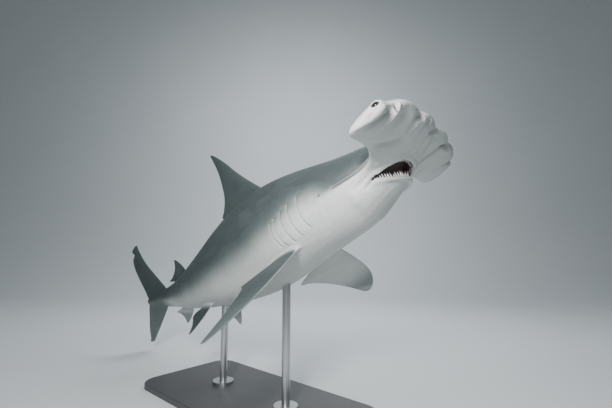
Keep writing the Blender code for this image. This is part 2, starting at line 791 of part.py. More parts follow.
def head_nodes():
    """The hammer with the upper jaw, and the lower jaw, parted by the gape and a thin cut."""
    whole = hammer("head")
    combine(whole, "UNION", [trunk("neck", stations_between(TRUNK[0][0], HEAD_END)), jaw_bulge("chin")])
    lower = copy_of(whole, "lower_jaw")
    combine(lower, "UNION", [lip("lower_lip", LOWER_EDGE, LOWER_LIP)])
    combine(lower, "INTERSECT", [jaw_block("keep", 0.0)])
    combine(lower, "DIFFERENCE", [bowl("bowl")])
    combine(lower, "UNION", tooth_row(LOWER_EDGE, LOWER_TEETH))
    combine(whole, "UNION", [lip("upper_lip", UPPER_EDGE, UPPER_LIP)])
    combine(whole, "DIFFERENCE", [jaw_block("drop", GAP / TOTAL_LENGTH), gape("gape")])
    combine(whole, "UNION", tooth_row(UPPER_EDGE, UPPER_TEETH))
    combine(whole, "UNION", [lid("lid", side) for side in (-1, 1)])
    sockets = [eyeball("socket", side, EYE_RADIUS + GAP) for side in (-1, 1)]
    combine(whole, "DIFFERENCE", sockets + [nostril("nostril", side) for side in (-1, 1)])
    return whole, lower


def cylinder(name, at, radius, height, segments=24):
    """An upright round bar that stands on a point."""
    mesh = bpy.data.meshes.new(name)
    shape = bmesh.new()
    bmesh.ops.create_cone(
        shape, cap_ends=True, segments=segments, radius1=radius, radius2=radius, depth=height
    )
    bmesh.ops.translate(shape, vec=Vector(at) + Vector((0, 0, height / 2)), verts=shape.verts)
    shape.to_mesh(mesh)
    shape.free()
    made = bpy.data.objects.new(name, mesh)
    bpy.context.scene.collection.objects.link(made)
    return made


def stand_base():
    """The flat plate on the floor, with round corners and softened edges."""
    mesh = bpy.data.meshes.new("stand_base")
    shape = bmesh.new()
    bmesh.ops.create_cube(shape, size=1.0)
    bmesh.ops.scale(shape, vec=BASE_SIZE, verts=shape.verts)
    bmesh.ops.translate(shape, vec=(0, 0, BASE_SIZE[2] / 2), verts=shape.verts)
    upright = [edge for edge in shape.edges if abs(edge.verts[0].co.z - edge.verts[1].co.z) > GAP]
    bmesh.ops.bevel(shape, geom=upright, offset=BASE_CORNER, segments=8, affect="EDGES", profile=0.5)
    rim = [edge for edge in shape.edges if min(v.co.z for v in edge.verts) > BASE_SIZE[2] - GAP]
    bmesh.ops.bevel(shape, geom=rim, offset=BASE_BEVEL, segments=2, affect="EDGES", profile=0.5)
    shape.to_mesh(mesh)
    shape.free()
    made = bpy.data.objects.new("stand_base", mesh)
    bpy.context.scene.collection.objects.link(made)
    return made


def stand_rod(name, station):
    """A rod with a foot flange, from the plate up to the belly above it."""
    belly = SPINE.place(np.array([[station, 0.0, 0.0]]))[0]
    foot = (belly[0], belly[1], BASE_SIZE[2] + GAP)
    rod = cylinder(name, foot, ROD_RADIUS, belly[2] - foot[2])
    combine(rod, "UNION", [cylinder("flange", foot, ROD_FLANGE_RADIUS, ROD_FLANGE_HEIGHT)])
    return rooted(rod)


def main():
    for thing in list(bpy.data.objects):
        bpy.data.objects.remove(thing)
    nodes = {}
    head, jaw = head_nodes()
    nodes["skin"] = [head, jaw]
    nodes["eye"] = [
        eyeball(f"eye_{word}", side, EYE_RADIUS) for word, side in (("right", 1), ("left", -1))
    ]
    slits = [gill_slit("slit", side, *slit) for side in (-1, 1) for slit in GILL_SLITS]
    gills = trunk("gills", stations_between(HEAD_END, GILLS_END))
    nodes["skin"].append(combine(gills, "DIFFERENCE", slits, "MANIFOLD"))
    for name, start, end in (
        ("torso", GILLS_END, TORSO_END),
        ("loin", TORSO_END, LOIN_END),
        ("tail_stock", LOIN_END, TAIL_END),
    ):
        nodes["skin"].append(trunk(name, stations_between(start, end)))
    upright, level = (0, 0, 1), (1, 0, 0)
    nodes["skin"] += [
        rooted(fin("first_dorsal_fin", FIRST_DORSAL, (0, 0, 0), upright, level, 0.021, 0.003)),
        rooted(fin("second_dorsal_fin", SECOND_DORSAL, (0, 0, 0), upright, level, 0.009, 0.002, 10)),
        rooted(fin("anal_fin", ANAL, (0, 0, 0), (0, 0, -1), level, 0.009, 0.002, 10)),
        caudal_fin(),
        pectoral("pectoral_fin_right", 1, 31, -1),
        pectoral("pectoral_fin_left", -1, 22, -10),
        pelvic("pelvic_fin_right", 1, 52),
        pelvic("pelvic_fin_left", -1, 62),
    ]
    nodes["stand"] = [stand_base()]
    nodes["stand"] += [stand_rod(name, station) for name, station in ROD_STATIONS.items()]
    parts = bpy.data.collections.new("hammerhead_shark")
    bpy.context.scene.collection.children.link(parts)
    for finish, things in nodes.items():
        for thing in things:
            bpy.context.scene.collection.objects.unlink(thing)
            parts.objects.link(thing)
            thing.data.materials.clear()
            thing.data.materials.append(material(finish))
            thing.data.shade_smooth()
            thing.data.set_sharp_from_angle(angle=math.radians(SHARP_ANGLE))


main()
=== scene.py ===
"""A great hammerhead shark on a plain display stand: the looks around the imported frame."""

import logging
import math
from collections.abc import Sequence
from dataclasses import dataclass, field, replace
from enum import Enum

import bmesh
import bpy
import numpy as np
from mathutils import Matrix, Vector
from mathutils.kdtree import KDTree


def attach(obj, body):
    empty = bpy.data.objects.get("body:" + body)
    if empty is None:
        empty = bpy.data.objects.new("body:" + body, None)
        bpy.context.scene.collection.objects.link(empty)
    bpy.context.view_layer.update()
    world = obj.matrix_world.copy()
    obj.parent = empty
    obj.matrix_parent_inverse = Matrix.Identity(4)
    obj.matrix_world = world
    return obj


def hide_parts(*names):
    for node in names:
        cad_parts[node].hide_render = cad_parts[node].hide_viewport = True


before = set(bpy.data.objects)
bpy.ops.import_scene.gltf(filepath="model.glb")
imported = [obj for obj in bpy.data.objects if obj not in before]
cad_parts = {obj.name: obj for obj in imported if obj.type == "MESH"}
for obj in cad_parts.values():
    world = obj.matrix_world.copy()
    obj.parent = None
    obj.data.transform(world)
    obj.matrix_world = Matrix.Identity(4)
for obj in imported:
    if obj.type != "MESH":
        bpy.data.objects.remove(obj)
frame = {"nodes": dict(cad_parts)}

LOG = logging.getLogger("hammerhead")
Array = np.ndarray
Inputs = dict[str | int, object]
Outputs = bpy.types.bpy_prop_collection
Socket = bpy.types.NodeSocket
Triple = tuple[float, float, float]
Table = tuple[tuple[float, ...], ...]
TOTAL_LENGTH = 3.30


class Side(Enum):
    """The shark's two sides, as the sign of their distance from the middle."""

    RIGHT = 1
    LEFT = -1


def smooth_step(t: Array) -> Array:
    """A soft ramp from 0 to 1."""
    t = np.clip(t, 0.0, 1.0)
    return t * t * (3.0 - 2.0 * t)


def ramp(value: Array, low: float, high: float) -> Array:
    """A soft ramp that is 0 at low and 1 at high."""
    return smooth_step((value - low) / (high - low))


def soft_min(a: Array, b: Array, blend: float) -> Array:
    """The smaller of two distances, with the crease between them rounded off."""
    near = np.clip(blend - np.abs(a - b), 0.0, None) / blend
    return np.minimum(a, b) - near * near * blend / 4


def soft_max(a: Array, b: Array, blend: float) -> Array:
    """The larger of two distances, with the crease between them rounded off."""
    return -soft_min(-a, -b, blend)


def read_table(table: Table, at: Array) -> Array:
    """Reads a table of sizes on smooth curves through its rows.

    Args:
        table: Rows that start with the place they belong to.
        at: The places to read.

    Returns:
        An array shaped like the places for each of the table's columns after the first.
    """
    rows = np.array(table, dtype=float)
    keys, values = rows[:, 0], rows[:, 1:]
    slopes = np.gradient(values, keys, axis=0)
    at = np.clip(np.asarray(at, dtype=float), keys[0], keys[-1])
    low = np.clip(np.searchsorted(keys, at, side="right") - 1, 0, len(keys) - 2)
    width = (keys[low + 1] - keys[low])[..., None]
    t = (at - keys[low])[..., None] / width
    start, end = values[low], values[low + 1]
    rise, fall = slopes[low] * width, slopes[low + 1] * width
    curve = (2 * t**3 - 3 * t**2 + 1) * start + (t**3 - 2 * t**2 + t) * rise
    curve = curve + (3 * t**2 - 2 * t**3) * end + (t**3 - t**2) * fall
    return np.moveaxis(curve, -1, 0)


def turn(axis: str, degrees: float) -> Array:
    """The 3 by 3 matrix of a turn about one axis."""
    return np.array(Matrix.Rotation(math.radians(degrees), 3, axis))


def new_object(name: str, points: Array, faces: list | Array) -> bpy.types.Object:
    """Makes a mesh object at the origin from points in the row frame.

    Args:
        name: The piece's name.
        points: Positions in metres.
        faces: Corner numbers of each face.

    Returns:
        The linked object.
    """
    mesh = bpy.data.meshes.new(name)
    corners = faces.tolist() if isinstance(faces, Array) else faces
    mesh.from_pydata(np.asarray(points).tolist(), [], corners)
    mesh.validate()
    made = bpy.data.objects.new(name, mesh)
    bpy.context.scene.collection.objects.link(made)
    return made


def bake(piece: bpy.types.Object) -> None:
    """Replaces a piece's mesh by what its modifiers make of it."""
    graph = bpy.context.evaluated_depsgraph_get()
    graph.update()
    old = piece.data
    piece.data = bpy.data.meshes.new_from_object(piece.evaluated_get(graph))
    piece.modifiers.clear()
    bpy.data.meshes.remove(old)


def points_of(mesh: bpy.types.Mesh) -> Array:
    """The mesh's points as an array."""
    flat = np.empty(len(mesh.vertices) * 3, np.float32)
    mesh.vertices.foreach_get("co", flat)
    return flat.reshape(-1, 3).astype(float)


def edges_of(mesh: bpy.types.Mesh) -> Array:
    """The mesh's edges as pairs of point numbers."""
    flat = np.empty(len(mesh.edges) * 2, np.int32)
    mesh.edges.foreach_get("vertices", flat)
    return flat.reshape(-1, 2)


def relax(mesh: bpy.types.Mesh, weight: Array, rounds: int) -> None:
    """Moves points towards the middle of their neighbours.

    Args:
        mesh: The mesh to smooth.
        weight: How far each point follows, from 0 to 1.
        rounds: How many times to do it.
    """
    points, edges = points_of(mesh), edges_of(mesh)
    count = np.bincount(edges.ravel(), minlength=len(points)).astype(float)[:, None]
    for _ in range(rounds):
        total = np.zeros_like(points)
        for k in range(3):
            total[:, k] = np.bincount(edges[:, 0], points[edges[:, 1], k], len(points))
            total[:, k] += np.bincount(edges[:, 1], points[edges[:, 0], k], len(points))
        points += (total / np.maximum(count, 1) - points) * weight[:, None] * 0.5
    mesh.vertices.foreach_set("co", points.ravel().astype(np.float32))
    mesh.update()


@dataclass(frozen=True)
class Spine:
    """The bent line that carries the body. Straight-body places are fractions of the length."""

    body_pitch: float = 22.44
    body_bank: float = 3.07
    head_turn: float = 8.1
    head_lift: float = 11.4
    head_roll: float = 4.7
    tail_swing: float = -8.69
    tail_swing_back: float = 18.5
    tail_lift: float = -9.8
    pivot: float = 0.30
    pivot_at: Triple = (0.20, 0.0, 0.86)
    steps: int = 400

    def bend(self) -> tuple[Array, Array]:
        """The centres and the three axes of every station."""
        u = np.linspace(0.0, 1.0, self.steps + 1)
        at_head = smooth_step((0.20 - u) / 0.12)
        yaw = self.head_turn * at_head + self.tail_swing * smooth_step((u - 0.35) / 0.30)
        yaw += self.tail_swing_back * smooth_step((u - 0.62) / 0.20)
        pitch = self.head_lift * at_head + self.tail_lift * smooth_step((u - 0.35) / 0.35)
        roll = self.head_roll * at_head
        axes = np.array([turn("Z", a) @ turn("Y", b) @ turn("X", c) for a, b, c in zip(yaw, pitch, roll)])
        along = axes[:, :, 0]
        centres = np.zeros((self.steps + 1, 3))
        centres[1:] = np.cumsum((along[1:] + along[:-1]) / 2 / self.steps, axis=0)
        centres -= centres[int(round(self.pivot * self.steps))]
        return centres, axes

    def stance(self) -> Array:
        """How the body as a whole leans in the row frame."""
        return turn("Y", -self.body_pitch) @ turn("X", self.body_bank) @ np.diag([-1.0, -1.0, 1.0])

    def place(self, points: Array) -> Array:
        """World positions in metres of straight-body places."""
        centres, axes = self.bend()
        points = np.asarray(points, dtype=float)
        flat = points.reshape(-1, 3)
        inside = np.clip(flat[:, 0], 0.0, 1.0)
        low = np.minimum((inside * self.steps).astype(int), self.steps - 1)
        part = (inside * self.steps - low)[:, None]
        centre = centres[low] * (1 - part) + centres[low + 1] * part
        across_axes = axes[low] * (1 - part[:, :, None]) + axes[low + 1] * part[:, :, None]
        across = np.stack([flat[:, 0] - inside, flat[:, 1], flat[:, 2]], axis=1)
        bent = centre + np.einsum("nij,nj->ni", across_axes, across)
        world = bent @ self.stance().T * TOTAL_LENGTH + np.array(self.pivot_at)
        return world.reshape(points.shape)

    def straighten(self, world: Array) -> Array:
        """Straight-body places of world positions, the inverse of place."""
        centres, axes = self.bend()
        bent = (np.asarray(world) - np.array(self.pivot_at)) / TOTAL_LENGTH @ self.stance()
        out = np.empty_like(bent)
        for start in range(0, len(bent), 20000):
            part = bent[start : start + 20000]
            ahead = part @ axes[:, :, 0].T - (centres * axes[:, :, 0]).sum(1)
            far = np.abs(ahead) + 0.02 * ((part[:, None, :] - centres[None]) ** 2).sum(2)
            nearest = np.argmin(far, axis=1)
            off = part - centres[nearest]
            local = np.einsum("nji,nj->ni", axes[nearest], off)
            local[:, 0] += nearest / self.steps
            out[start : start + 20000] = local
        return out

    def straighten_direction(self, stations: Array, world: Array) -> Array:
        """Straight-body directions of world directions at the stations given."""
        _, axes = self.bend()
        nearest = np.clip(np.round(stations * self.steps).astype(int), 0, self.steps)
        return np.einsum("nji,nj->ni", axes[nearest], np.asarray(world) @ self.stance())


SPINE = Spine()


@dataclass(frozen=True)
class BodyPlan:
    """The sizes that the skin is shaped from, in fractions of the total length."""

    trunk: Table = (
        (0.030, 0.026, 0.006, 0.008),
        (0.060, 0.038, 0.018, 0.014),
        (0.090, 0.044, 0.032, 0.028),
        (0.128, 0.050, 0.046, 0.0545),
        (0.170, 0.058, 0.060, 0.0600),
        (0.215, 0.065, 0.073, 0.0645),
        (0.260, 0.068, 0.083, 0.0715),
        (0.320, 0.068, 0.088, 0.077),
        (0.400, 0.062, 0.077, 0.071),
        (0.480, 0.050, 0.059, 0.058),
        (0.560, 0.036, 0.044, 0.045),
        (0.640, 0.024, 0.031, 0.032),
        (0.715, 0.014, 0.021, 0.021),
        (0.760, 0.008, 0.016, 0.012),
        (0.800, 0.003, 0.009, 0.005),
    )
    hammer: Table = (
        (0.0000, 0.0088, 0.1150, 0.0190, 0.0125),
        (0.0100, 0.0060, 0.1130, 0.0188, 0.0124),
        (0.0250, 0.0034, 0.1060, 0.0178, 0.0120),
        (0.0410, 0.0056, 0.0920, 0.0162, 0.0116),
        (0.0510, 0.0097, 0.0840, 0.0148, 0.0112),
        (0.0610, 0.0088, 0.0785, 0.0136, 0.0108),
        (0.0780, 0.0094, 0.0752, 0.0126, 0.0102),
        (0.0940, 0.0152, 0.0748, 0.0119, 0.0098),
        (0.1040, 0.0232, 0.0754, 0.0113, 0.0094),
        (0.1090, 0.0266, 0.0750, 0.0107, 0.0090),
        (0.1130, 0.0292, 0.0735, 0.0096, 0.0080),
        (0.1165, 0.0325, 0.0685, 0.0080, 0.0070),
        (0.1185, 0.0350, 0.0600, 0.0060, 0.0054),
        (0.1200, 0.0385, 0.0520, 0.0032, 0.0030),
    )
    hammer_drop: float = 0.0105
    hammer_shift: float = 0.0050
    hammer_skew: float = 0.022
    gape: Table = (
        (0.0560, 0.0020, -0.0120, -0.0380),
        (0.0576, 0.0150, -0.0095, -0.0380),
        (0.0630, 0.0232, -0.0070, -0.0372),
        (0.0700, 0.0288, -0.0055, -0.0358),
        (0.0800, 0.0332, -0.0055, -0.0338),
        (0.0900, 0.0348, -0.0075, -0.0290),
        (0.1000, 0.0355, -0.0140, -0.0254),
        (0.1080, 0.0360, -0.0220, -0.0244),
    )
    jaw: Table = (
        (0.0690, 0.0050, 0.0385),
        (0.0710, 0.0110, 0.0395),
        (0.0740, 0.0165, 0.0408),
        (0.0800, 0.0245, 0.0425),
        (0.0880, 0.0305, 0.0443),
        (0.0960, 0.0345, 0.0458),
        (0.1070, 0.0375, 0.0492),
        (0.1270, 0.0430, 0.0530),
    )
    lower_edge: Table = (
        (0.0718, 0.0000, -0.0356),
        (0.0735, 0.0080, -0.0352),
        (0.0800, 0.0185, -0.0338),
        (0.0880, 0.0262, -0.0300),
        (0.0960, 0.0302, -0.0266),
        (0.1020, 0.0322, -0.0252),
    )
    upper_edge: Table = (
        (0.0562, 0.0000, -0.0215),
        (0.0578, 0.0148, -0.0215),
        (0.0630, 0.0229, -0.0218),
        (0.0700, 0.0284, -0.0220),
        (0.0800, 0.0328, -0.0220),
        (0.0960, 0.0350, -0.0220),
    )
    eye_at: Triple = (0.0357, 0.1135, -0.0094)
    eye_gaze: Triple = (-0.10, 0.97, -0.06)
    nostril_ends: Table = ((0.0216, 0.1040), (0.0262, 0.0926))
    gill_slits: Table = (
        (0.1905, 0.0110, -0.0320),
        (0.2075, 0.0080, -0.0365),
        (0.2220, 0.0040, -0.0385),
        (0.2355, 0.0000, -0.0395),
        (0.2435, -0.0030, -0.0375),
    )

    def on_hammer(self, x: float, y: float, side: int) -> tuple[float, float]:
        """Where a place of the head's own table lies on one side of the body."""
        return x + self.hammer_skew * side * y, side * y + self.hammer_shift

    def eye_axes(self, side: Side) -> tuple[Array, Array, Array]:
        """Forwards, up and outwards as one eye has them."""
        gaze = np.array(self.eye_gaze) * (1, side.value, 1)
        gaze /= np.linalg.norm(gaze)
        ahead = np.cross(gaze, (0.0, 0.0, 1.0))
        ahead /= np.linalg.norm(ahead)
        return ahead, np.cross(ahead, gaze), gaze

    def edge_line(self, edge: Table, count: int) -> tuple[Array, Array]:
        """Evenly spaced places along a jaw's whole edge.

        Args:
            edge: The edge on one side, from the front of the mouth to its corner.
            count: How many places to give.

        Returns:
            The places, and their directions away from the mouth.
        """
        side = np.array(edge)
        line = np.concatenate([side[:0:-1], side * (1, -1, 1)])
        run = np.concatenate([[0.0], np.cumsum(np.linalg.norm(np.diff(line[:, :2], axis=0), axis=1))])
        fine = np.linspace(0.0, run[-1], 241)
        path = np.stack([np.interp(fine, run, line[:, k]) for k in range(3)], axis=1)
        for _ in range(24):
            path[1:-1] = (path[:-2] + 2 * path[1:-1] + path[2:]) / 4
        slope = np.gradient(path, axis=0)
        outward = np.stack([-slope[:, 1], slope[:, 0], np.zeros(len(path))], axis=1)
        outward *= np.sign((outward * path * (0, 1, 0)).sum())
        outward /= np.linalg.norm(outward, axis=1)[:, None]
        picked = np.round(np.linspace(0, len(path) - 1, count)).astype(int)
        return path[picked], outward[picked]


PLAN = BodyPlan()


def nearest_on_line(at: tuple, start: Sequence[float], end: Sequence[float]) -> tuple[Array, Array]:
    """Finds the nearest point of a straight stretch.

    Args:
        at: The places, as one grid for each axis.
        start: Where the stretch starts.
        end: Where it ends.

    Returns:
        How far along the stretch the nearest point is, from 0 to 1, and the square of its distance.
    """
    along = [b - a for a, b in zip(start, end)]
    t = sum((v - a) * d for v, a, d in zip(at, start, along)) / sum(d * d for d in along)
    t = np.clip(t, 0, 1)
    return t, sum((v - a - t * d) ** 2 for v, a, d in zip(at, start, along))


def oval_distance(across: Array, up: Array, half: Array, reach: Array) -> Array:
    """Roughly the distance to an oval with the half axes given, negative inside."""
    form = (across / half) ** 2 + (up / reach) ** 2
    slope = np.sqrt((across / half**2) ** 2 + (up / reach**2) ** 2)
    near = (form - np.sqrt(form)) / np.maximum(slope, 1e-3)
    return np.where(form < 1e-3, -np.minimum(half, reach), near)


def wing_section(chord: Array) -> Array:
    """The half thickness of a wing with a blunt front and a thin rear, at places from 0 to 1."""
    return 2.969 * np.sqrt(chord) - 1.26 * chord - 3.516 * chord**2 + 2.843 * chord**3 - 1.036 * chord**4


@dataclass(frozen=True)
class Fold:
    """A line in the skin, with half its width and its depth, which is less than 0 for a ridge."""

    line: Table
    half_width: float
    depth: float
    fading: float = 0.75

    def relief(self, a: Array, b: Array) -> Array:
        """How deep the skin lies at places in the fold's plane, less towards the line's far end."""
        deep = np.zeros(np.broadcast(a, b).shape)
        for n, ends in enumerate(zip(self.line, self.line[1:])):
            t, away = nearest_on_line((a, b), *ends)
            fade = 1 - self.fading * ((n + t) / (len(self.line) - 1)) ** 2
            deep = np.maximum(deep, np.exp(-away / self.half_width**2) * fade)
        return self.depth * deep


# Folds under the head, as places (x, y)
UNDERSIDE_FOLDS = (
    Fold(((0.0330, 0.1215), (0.0450, 0.1225), (0.0580, 0.1225)), 0.0068, -0.0040),
    Fold(
        ((0.0285, 0.1075), (0.0392, 0.1085), (0.0470, 0.1105), (0.0560, 0.1130), (0.0660, 0.1150)),
        0.0044,
        0.0056,
    ),
    Fold(((0.0139, 0.1047), (0.0254, 0.1005), (0.0356, 0.0985), (0.0520, 0.0975)), 0.0018, -0.0024),
    Fold(((0.0260, 0.0850), (0.0400, 0.0840), (0.0600, 0.0820)), 0.0095, 0.0032),
    Fold(((0.0120, 0.0560), (0.0155, 0.0650), (0.0210, 0.0650), (0.0326, 0.0608)), 0.0028, 0.0044),
    Fold(((0.0120, 0.0490), (0.0183, 0.0570), (0.0267, 0.0550), (0.0400, 0.0540)), 0.0026, -0.0022),
    Fold(((0.0090, 0.0370), (0.0165, 0.0400), (0.0265, 0.0375), (0.0360, 0.0350)), 0.0026, 0.0032),
    Fold(
        ((0.0090, 0.0060), (0.0130, 0.0150), (0.0190, 0.0190), (0.0270, 0.0150), (0.0413, 0.0110)),
        0.0028,
        0.0048,
    ),
    Fold(((0.0195, 0.0010), (0.0326, -0.0060), (0.0442, -0.0150)), 0.0050, 0.0026),
    Fold(
        ((0.0110, -0.0450), (0.0150, -0.0330), (0.0200, -0.0265), (0.0373, -0.0215), (0.0600, -0.0185)),
        0.0024,
        0.0064,
    ),
    Fold(((0.0130, -0.0560), (0.0220, -0.0400), (0.0420, -0.0340)), 0.0040, -0.0026),
    Fold(((0.0190, -0.0985), (0.0260, -0.0860), (0.0358, -0.0800), (0.0509, -0.0800)), 0.0022, 0.0056),
    Fold(((0.0200, -0.1060), (0.0300, -0.0940), (0.0460, -0.0880)), 0.0030, -0.0024),
    Fold(((0.0320, -0.1080), (0.0440, -0.1040), (0.0620, -0.1000)), 0.0060, 0.0030),
    Fold(((0.0708, 0.0720), (0.0605, 0.0640), (0.0446, 0.0560), (0.0339, 0.0520)), 0.0065, 0.0042),
    Fold(((0.0700, -0.0620), (0.0590, -0.0540), (0.0440, -0.0460)), 0.0065, 0.0036),
    Fold(
        ((0.0821, 0.0438), (0.0737, 0.0391), (0.0610, 0.0319), (0.0520, 0.0150), (0.0480, 0.0000)),
        0.0040,
        -0.0022,
    ),
)
# Folds round the eyes at the head's ends, as places (x, z)
END_FOLDS = (
    Fold(((0.0300, -0.0125), (0.0334, -0.0150), (0.0400, -0.0158), (0.0450, -0.0140)), 0.0010, 0.0012),
    Fold(((0.0420, -0.0060), (0.0520, -0.0072), (0.0640, -0.0090)), 0.0016, 0.0012),
)
# Folds along the throat, as places (x, distance from the middle)
THROAT_FOLDS = (
    Fold(((0.0860, 0.0090), (0.1100, 0.0130), (0.1500, 0.0140)), 0.0036, 0.0004),
    Fold(((0.0900, 0.0190), (0.1120, 0.0240), (0.1400, 0.0260)), 0.0034, 0.0004),
)
# Folds on the sides of the neck and jaws, as places (x, z)
FLANK_FOLDS = (
    Fold(((0.0850, -0.0094), (0.1006, -0.0075), (0.1180, -0.0070), (0.1420, -0.0055)), 0.0015, 0.0040),
    Fold(((0.0860, -0.0150), (0.1006, -0.0135), (0.1180, -0.0140)), 0.0040, -0.0020),
    Fold(((0.0930, -0.0238), (0.1010, -0.0256), (0.1073, -0.0282), (0.1110, -0.0305)), 0.0011, 0.0046),
    Fold(((0.1040, -0.0200), (0.1130, -0.0220), (0.1230, -0.0250)), 0.0016, 0.0016),
)


@dataclass
class SkinShape:
    """The living form as one distance field along the straight body, negative inside."""

    plan: BodyPlan = PLAN
    neck_blend: float = 0.016
    jaw_blend: float = 0.010
    lip_blend: float = 0.0055
    cut_blend: float = 0.0016
    far: float = 0.05
    jaw_top: float = 0.004
    jaw_span: tuple[float, float] = (0.0692, 0.128)
    jaw_round: float = 0.004
    gape_span: tuple[float, float] = (0.0554, 0.1030)
    gape_rounds: Triple = (0.006, 0.0015, 0.004)
    gape_tuck: float = 0.0085
    bowl_span: tuple[float, float] = (0.0770, 0.104)
    bowl_inset: float = 0.0066
    bowl_depth: float = 0.0042
    tongue_half_width: float = 0.0070
    tongue_share: float = 0.65
    lid_radius: float = 0.0071
    lid_blend: float = 0.006
    aperture: tuple[float, float] = (0.0044, 0.0026)
    aperture_depth: float = 0.0030
    nostril_half_width: float = 0.0008
    nostril_depth: float = 0.0120
    slit_half_width: float = 0.00075
    slit_depth: float = 0.0050
    slit_bow: float = 0.0030
    slit_slant: float = 0.62
    gill_lift: float = 0.0013
    head_end: float = 0.150
    mouth_reach: tuple[float, float, float, float] = (0.050, 0.118, 0.048, 0.002)
    eye_reach: tuple[float, float] = (0.062, 0.070)
    throat_reach: float = 0.090

    def trunk(self, x: Array, y: Array, z: Array) -> Array:
        """Distance to the trunk, for open grids of x, y and z."""
        width, above, below = read_table(self.plan.trunk, x)
        near = oval_distance(y, z, width, np.where(z > 0, above, below))
        near = np.maximum(near, self.plan.trunk[0][0] - x)
        return np.maximum(near, x - self.plan.trunk[-1][0])

    def hammer(self, x: Array, y: Array, z: Array) -> Array:
        """Distance to the flat, wide head, worked out slice by slice from side to side."""
        flat_x, flat_y, flat_z = x.ravel(), y.ravel() - self.plan.hammer_shift, z.ravel()
        edge = self.plan.hammer[-1][0]
        columns = read_table(self.plan.hammer, np.minimum(np.abs(flat_y), edge))
        px, pz = np.meshgrid(flat_x, flat_z, indexing="ij")
        chord = (1 - np.cos(np.linspace(0, math.pi, 23))) / 2
        ellipse = np.sqrt(np.clip(1 - (2 * chord - 1) ** 2, 0, None))
        section = 0.55 * ellipse + 0.45 * wing_section(chord)
        out = np.empty((len(flat_x), len(flat_y), len(flat_z)), np.float32)
        for n, q in enumerate(flat_y):
            front, rear, above, below = columns[:, n]
            at = front + (rear - front) * chord + self.plan.hammer_skew * np.clip(q, -edge, edge)
            top = np.stack([at, section * above - self.plan.hammer_drop], axis=1)
            under = np.stack([at, -section * below - self.plan.hammer_drop], axis=1)[-2:0:-1]
            near = outline_distance(px, pz, np.concatenate([top, under]))
            beyond = max(abs(q) - edge, 0.0)
            out[:, n] = near if beyond == 0 else np.hypot(np.maximum(near, 0.0), beyond)
        return out

    def folds(self, x: Array, y: Array, z: Array) -> Array:
        """How far the skin sinks into its grooves, less than 0 where it stands out."""
        side = np.abs(y)
        relief = np.zeros(np.broadcast(x, y, z).shape)
        for folds, where, plane in (
            (UNDERSIDE_FOLDS, ramp(-z, 0.0110, 0.0150), (x, y)),
            (THROAT_FOLDS, ramp(-z, 0.030, 0.034), (x, side)),
            (END_FOLDS, ramp(side, 0.108, 0.114), (x, z)),
            (FLANK_FOLDS, ramp(side, 0.020, 0.028) * ramp(-side, -0.075, -0.065), (x, z)),
        ):
            for fold in folds:
                relief = relief + where * fold.relief(*plane)
        return relief

    def jaw(self, x: Array, y: Array, z: Array) -> Array:
        """Distance to the bulge of the lower jaw and throat."""
        width, depth = read_table(self.plan.jaw, x)
        middle, half = -(self.jaw_top + depth) / 2, (depth - self.jaw_top) / 2
        near = oval_distance(y, z - middle, width, half)
        near = soft_max(near, self.jaw_span[0] - x, self.jaw_round)
        return soft_max(near, x - self.jaw_span[1], self.jaw_round)

    def mouth(self, x: Array, y: Array, z: Array) -> Array:
        """Distance to the open space between the jaws, with the hollow floor and the tongue."""
        width, roof, floor = read_table(self.plan.gape, x)
        tuck = self.gape_tuck * ramp(-x, -0.0720, -0.0570)
        roof_round, floor_round, end_round = self.gape_rounds
        gap = soft_max(np.maximum(y - width, tuck - y - width), z - roof, roof_round)
        gap = soft_max(gap, floor - z, floor_round)
        ends = np.maximum(self.gape_span[0] - x, x - self.gape_span[1])
        gap = soft_max(gap, ends + 0 * z, end_round)
        jaw_width = read_table(self.plan.jaw, x)[0]
        front, back = self.bowl_span
        reach = ramp(x, front - 0.0005, front + 0.0050) * ramp(-x, -back, 0.008 - back)
        across = np.clip(1 - (np.abs(y) / np.maximum(jaw_width - self.bowl_inset, 0.002)) ** 2, 0.0, 1.0)
        swell = np.exp(-((y / self.tongue_half_width) ** 2)) * ramp(x, 0.0790, 0.0860)
        tongue = 1 - self.tongue_share * swell
        hollow = floor - self.bowl_depth * reach * np.sqrt(across) * tongue - z
        hollow = np.maximum(hollow, np.abs(y) - jaw_width + self.bowl_inset)
        hollow = np.maximum(hollow, np.maximum(front - x, x - back))
        hollow = np.maximum(hollow, z - roof)
        return np.minimum(gap, hollow)

    def lips(self, x: Array, y: Array, z: Array) -> Array:
        """Distance to the rounded rims of both jaws."""
        nearest = np.full(np.broadcast(x, y, z).shape, self.far)
        for edge, out_by, rise, radius in (
            (self.plan.lower_edge, 0.0022, -0.0042, 0.0024),
            (self.plan.upper_edge, 0.0020, -0.0010, 0.0018),
        ):
            places, outward = self.plan.edge_line(edge, 41)
            places = places + outward * out_by + (0, 0, rise)
            fade = 1 - 0.5 * np.linspace(-1, 1, len(places)) ** 4
            for start, end, size in zip(places, places[1:], fade):
                _, away = nearest_on_line((x, y, z), start, end)
                nearest = np.minimum(nearest, np.sqrt(away) - radius * size)
        return nearest

    def orbit(self, x: Array, y: Array, z: Array, side: Side) -> tuple[Array, Array]:
        """The swelling of skin around one eye, and the opening between its lids."""
        centre = (*self.plan.on_hammer(*self.plan.eye_at[:2], side.value), self.plan.eye_at[2])
        off = [v - c for v, c in zip((x, y, z), centre)]
        fore, rise, out = (sum(v * a for v, a in zip(off, axis)) for axis in self.plan.eye_axes(side))
        swelling = np.sqrt(out**2 + fore**2 + (rise * 1.12) ** 2) - self.lid_radius
        long, high = self.aperture
        opening = (np.sqrt((fore / long) ** 2 + (rise / high) ** 2) - 1) * high
        return swelling, np.maximum(opening, self.aperture_depth - out)

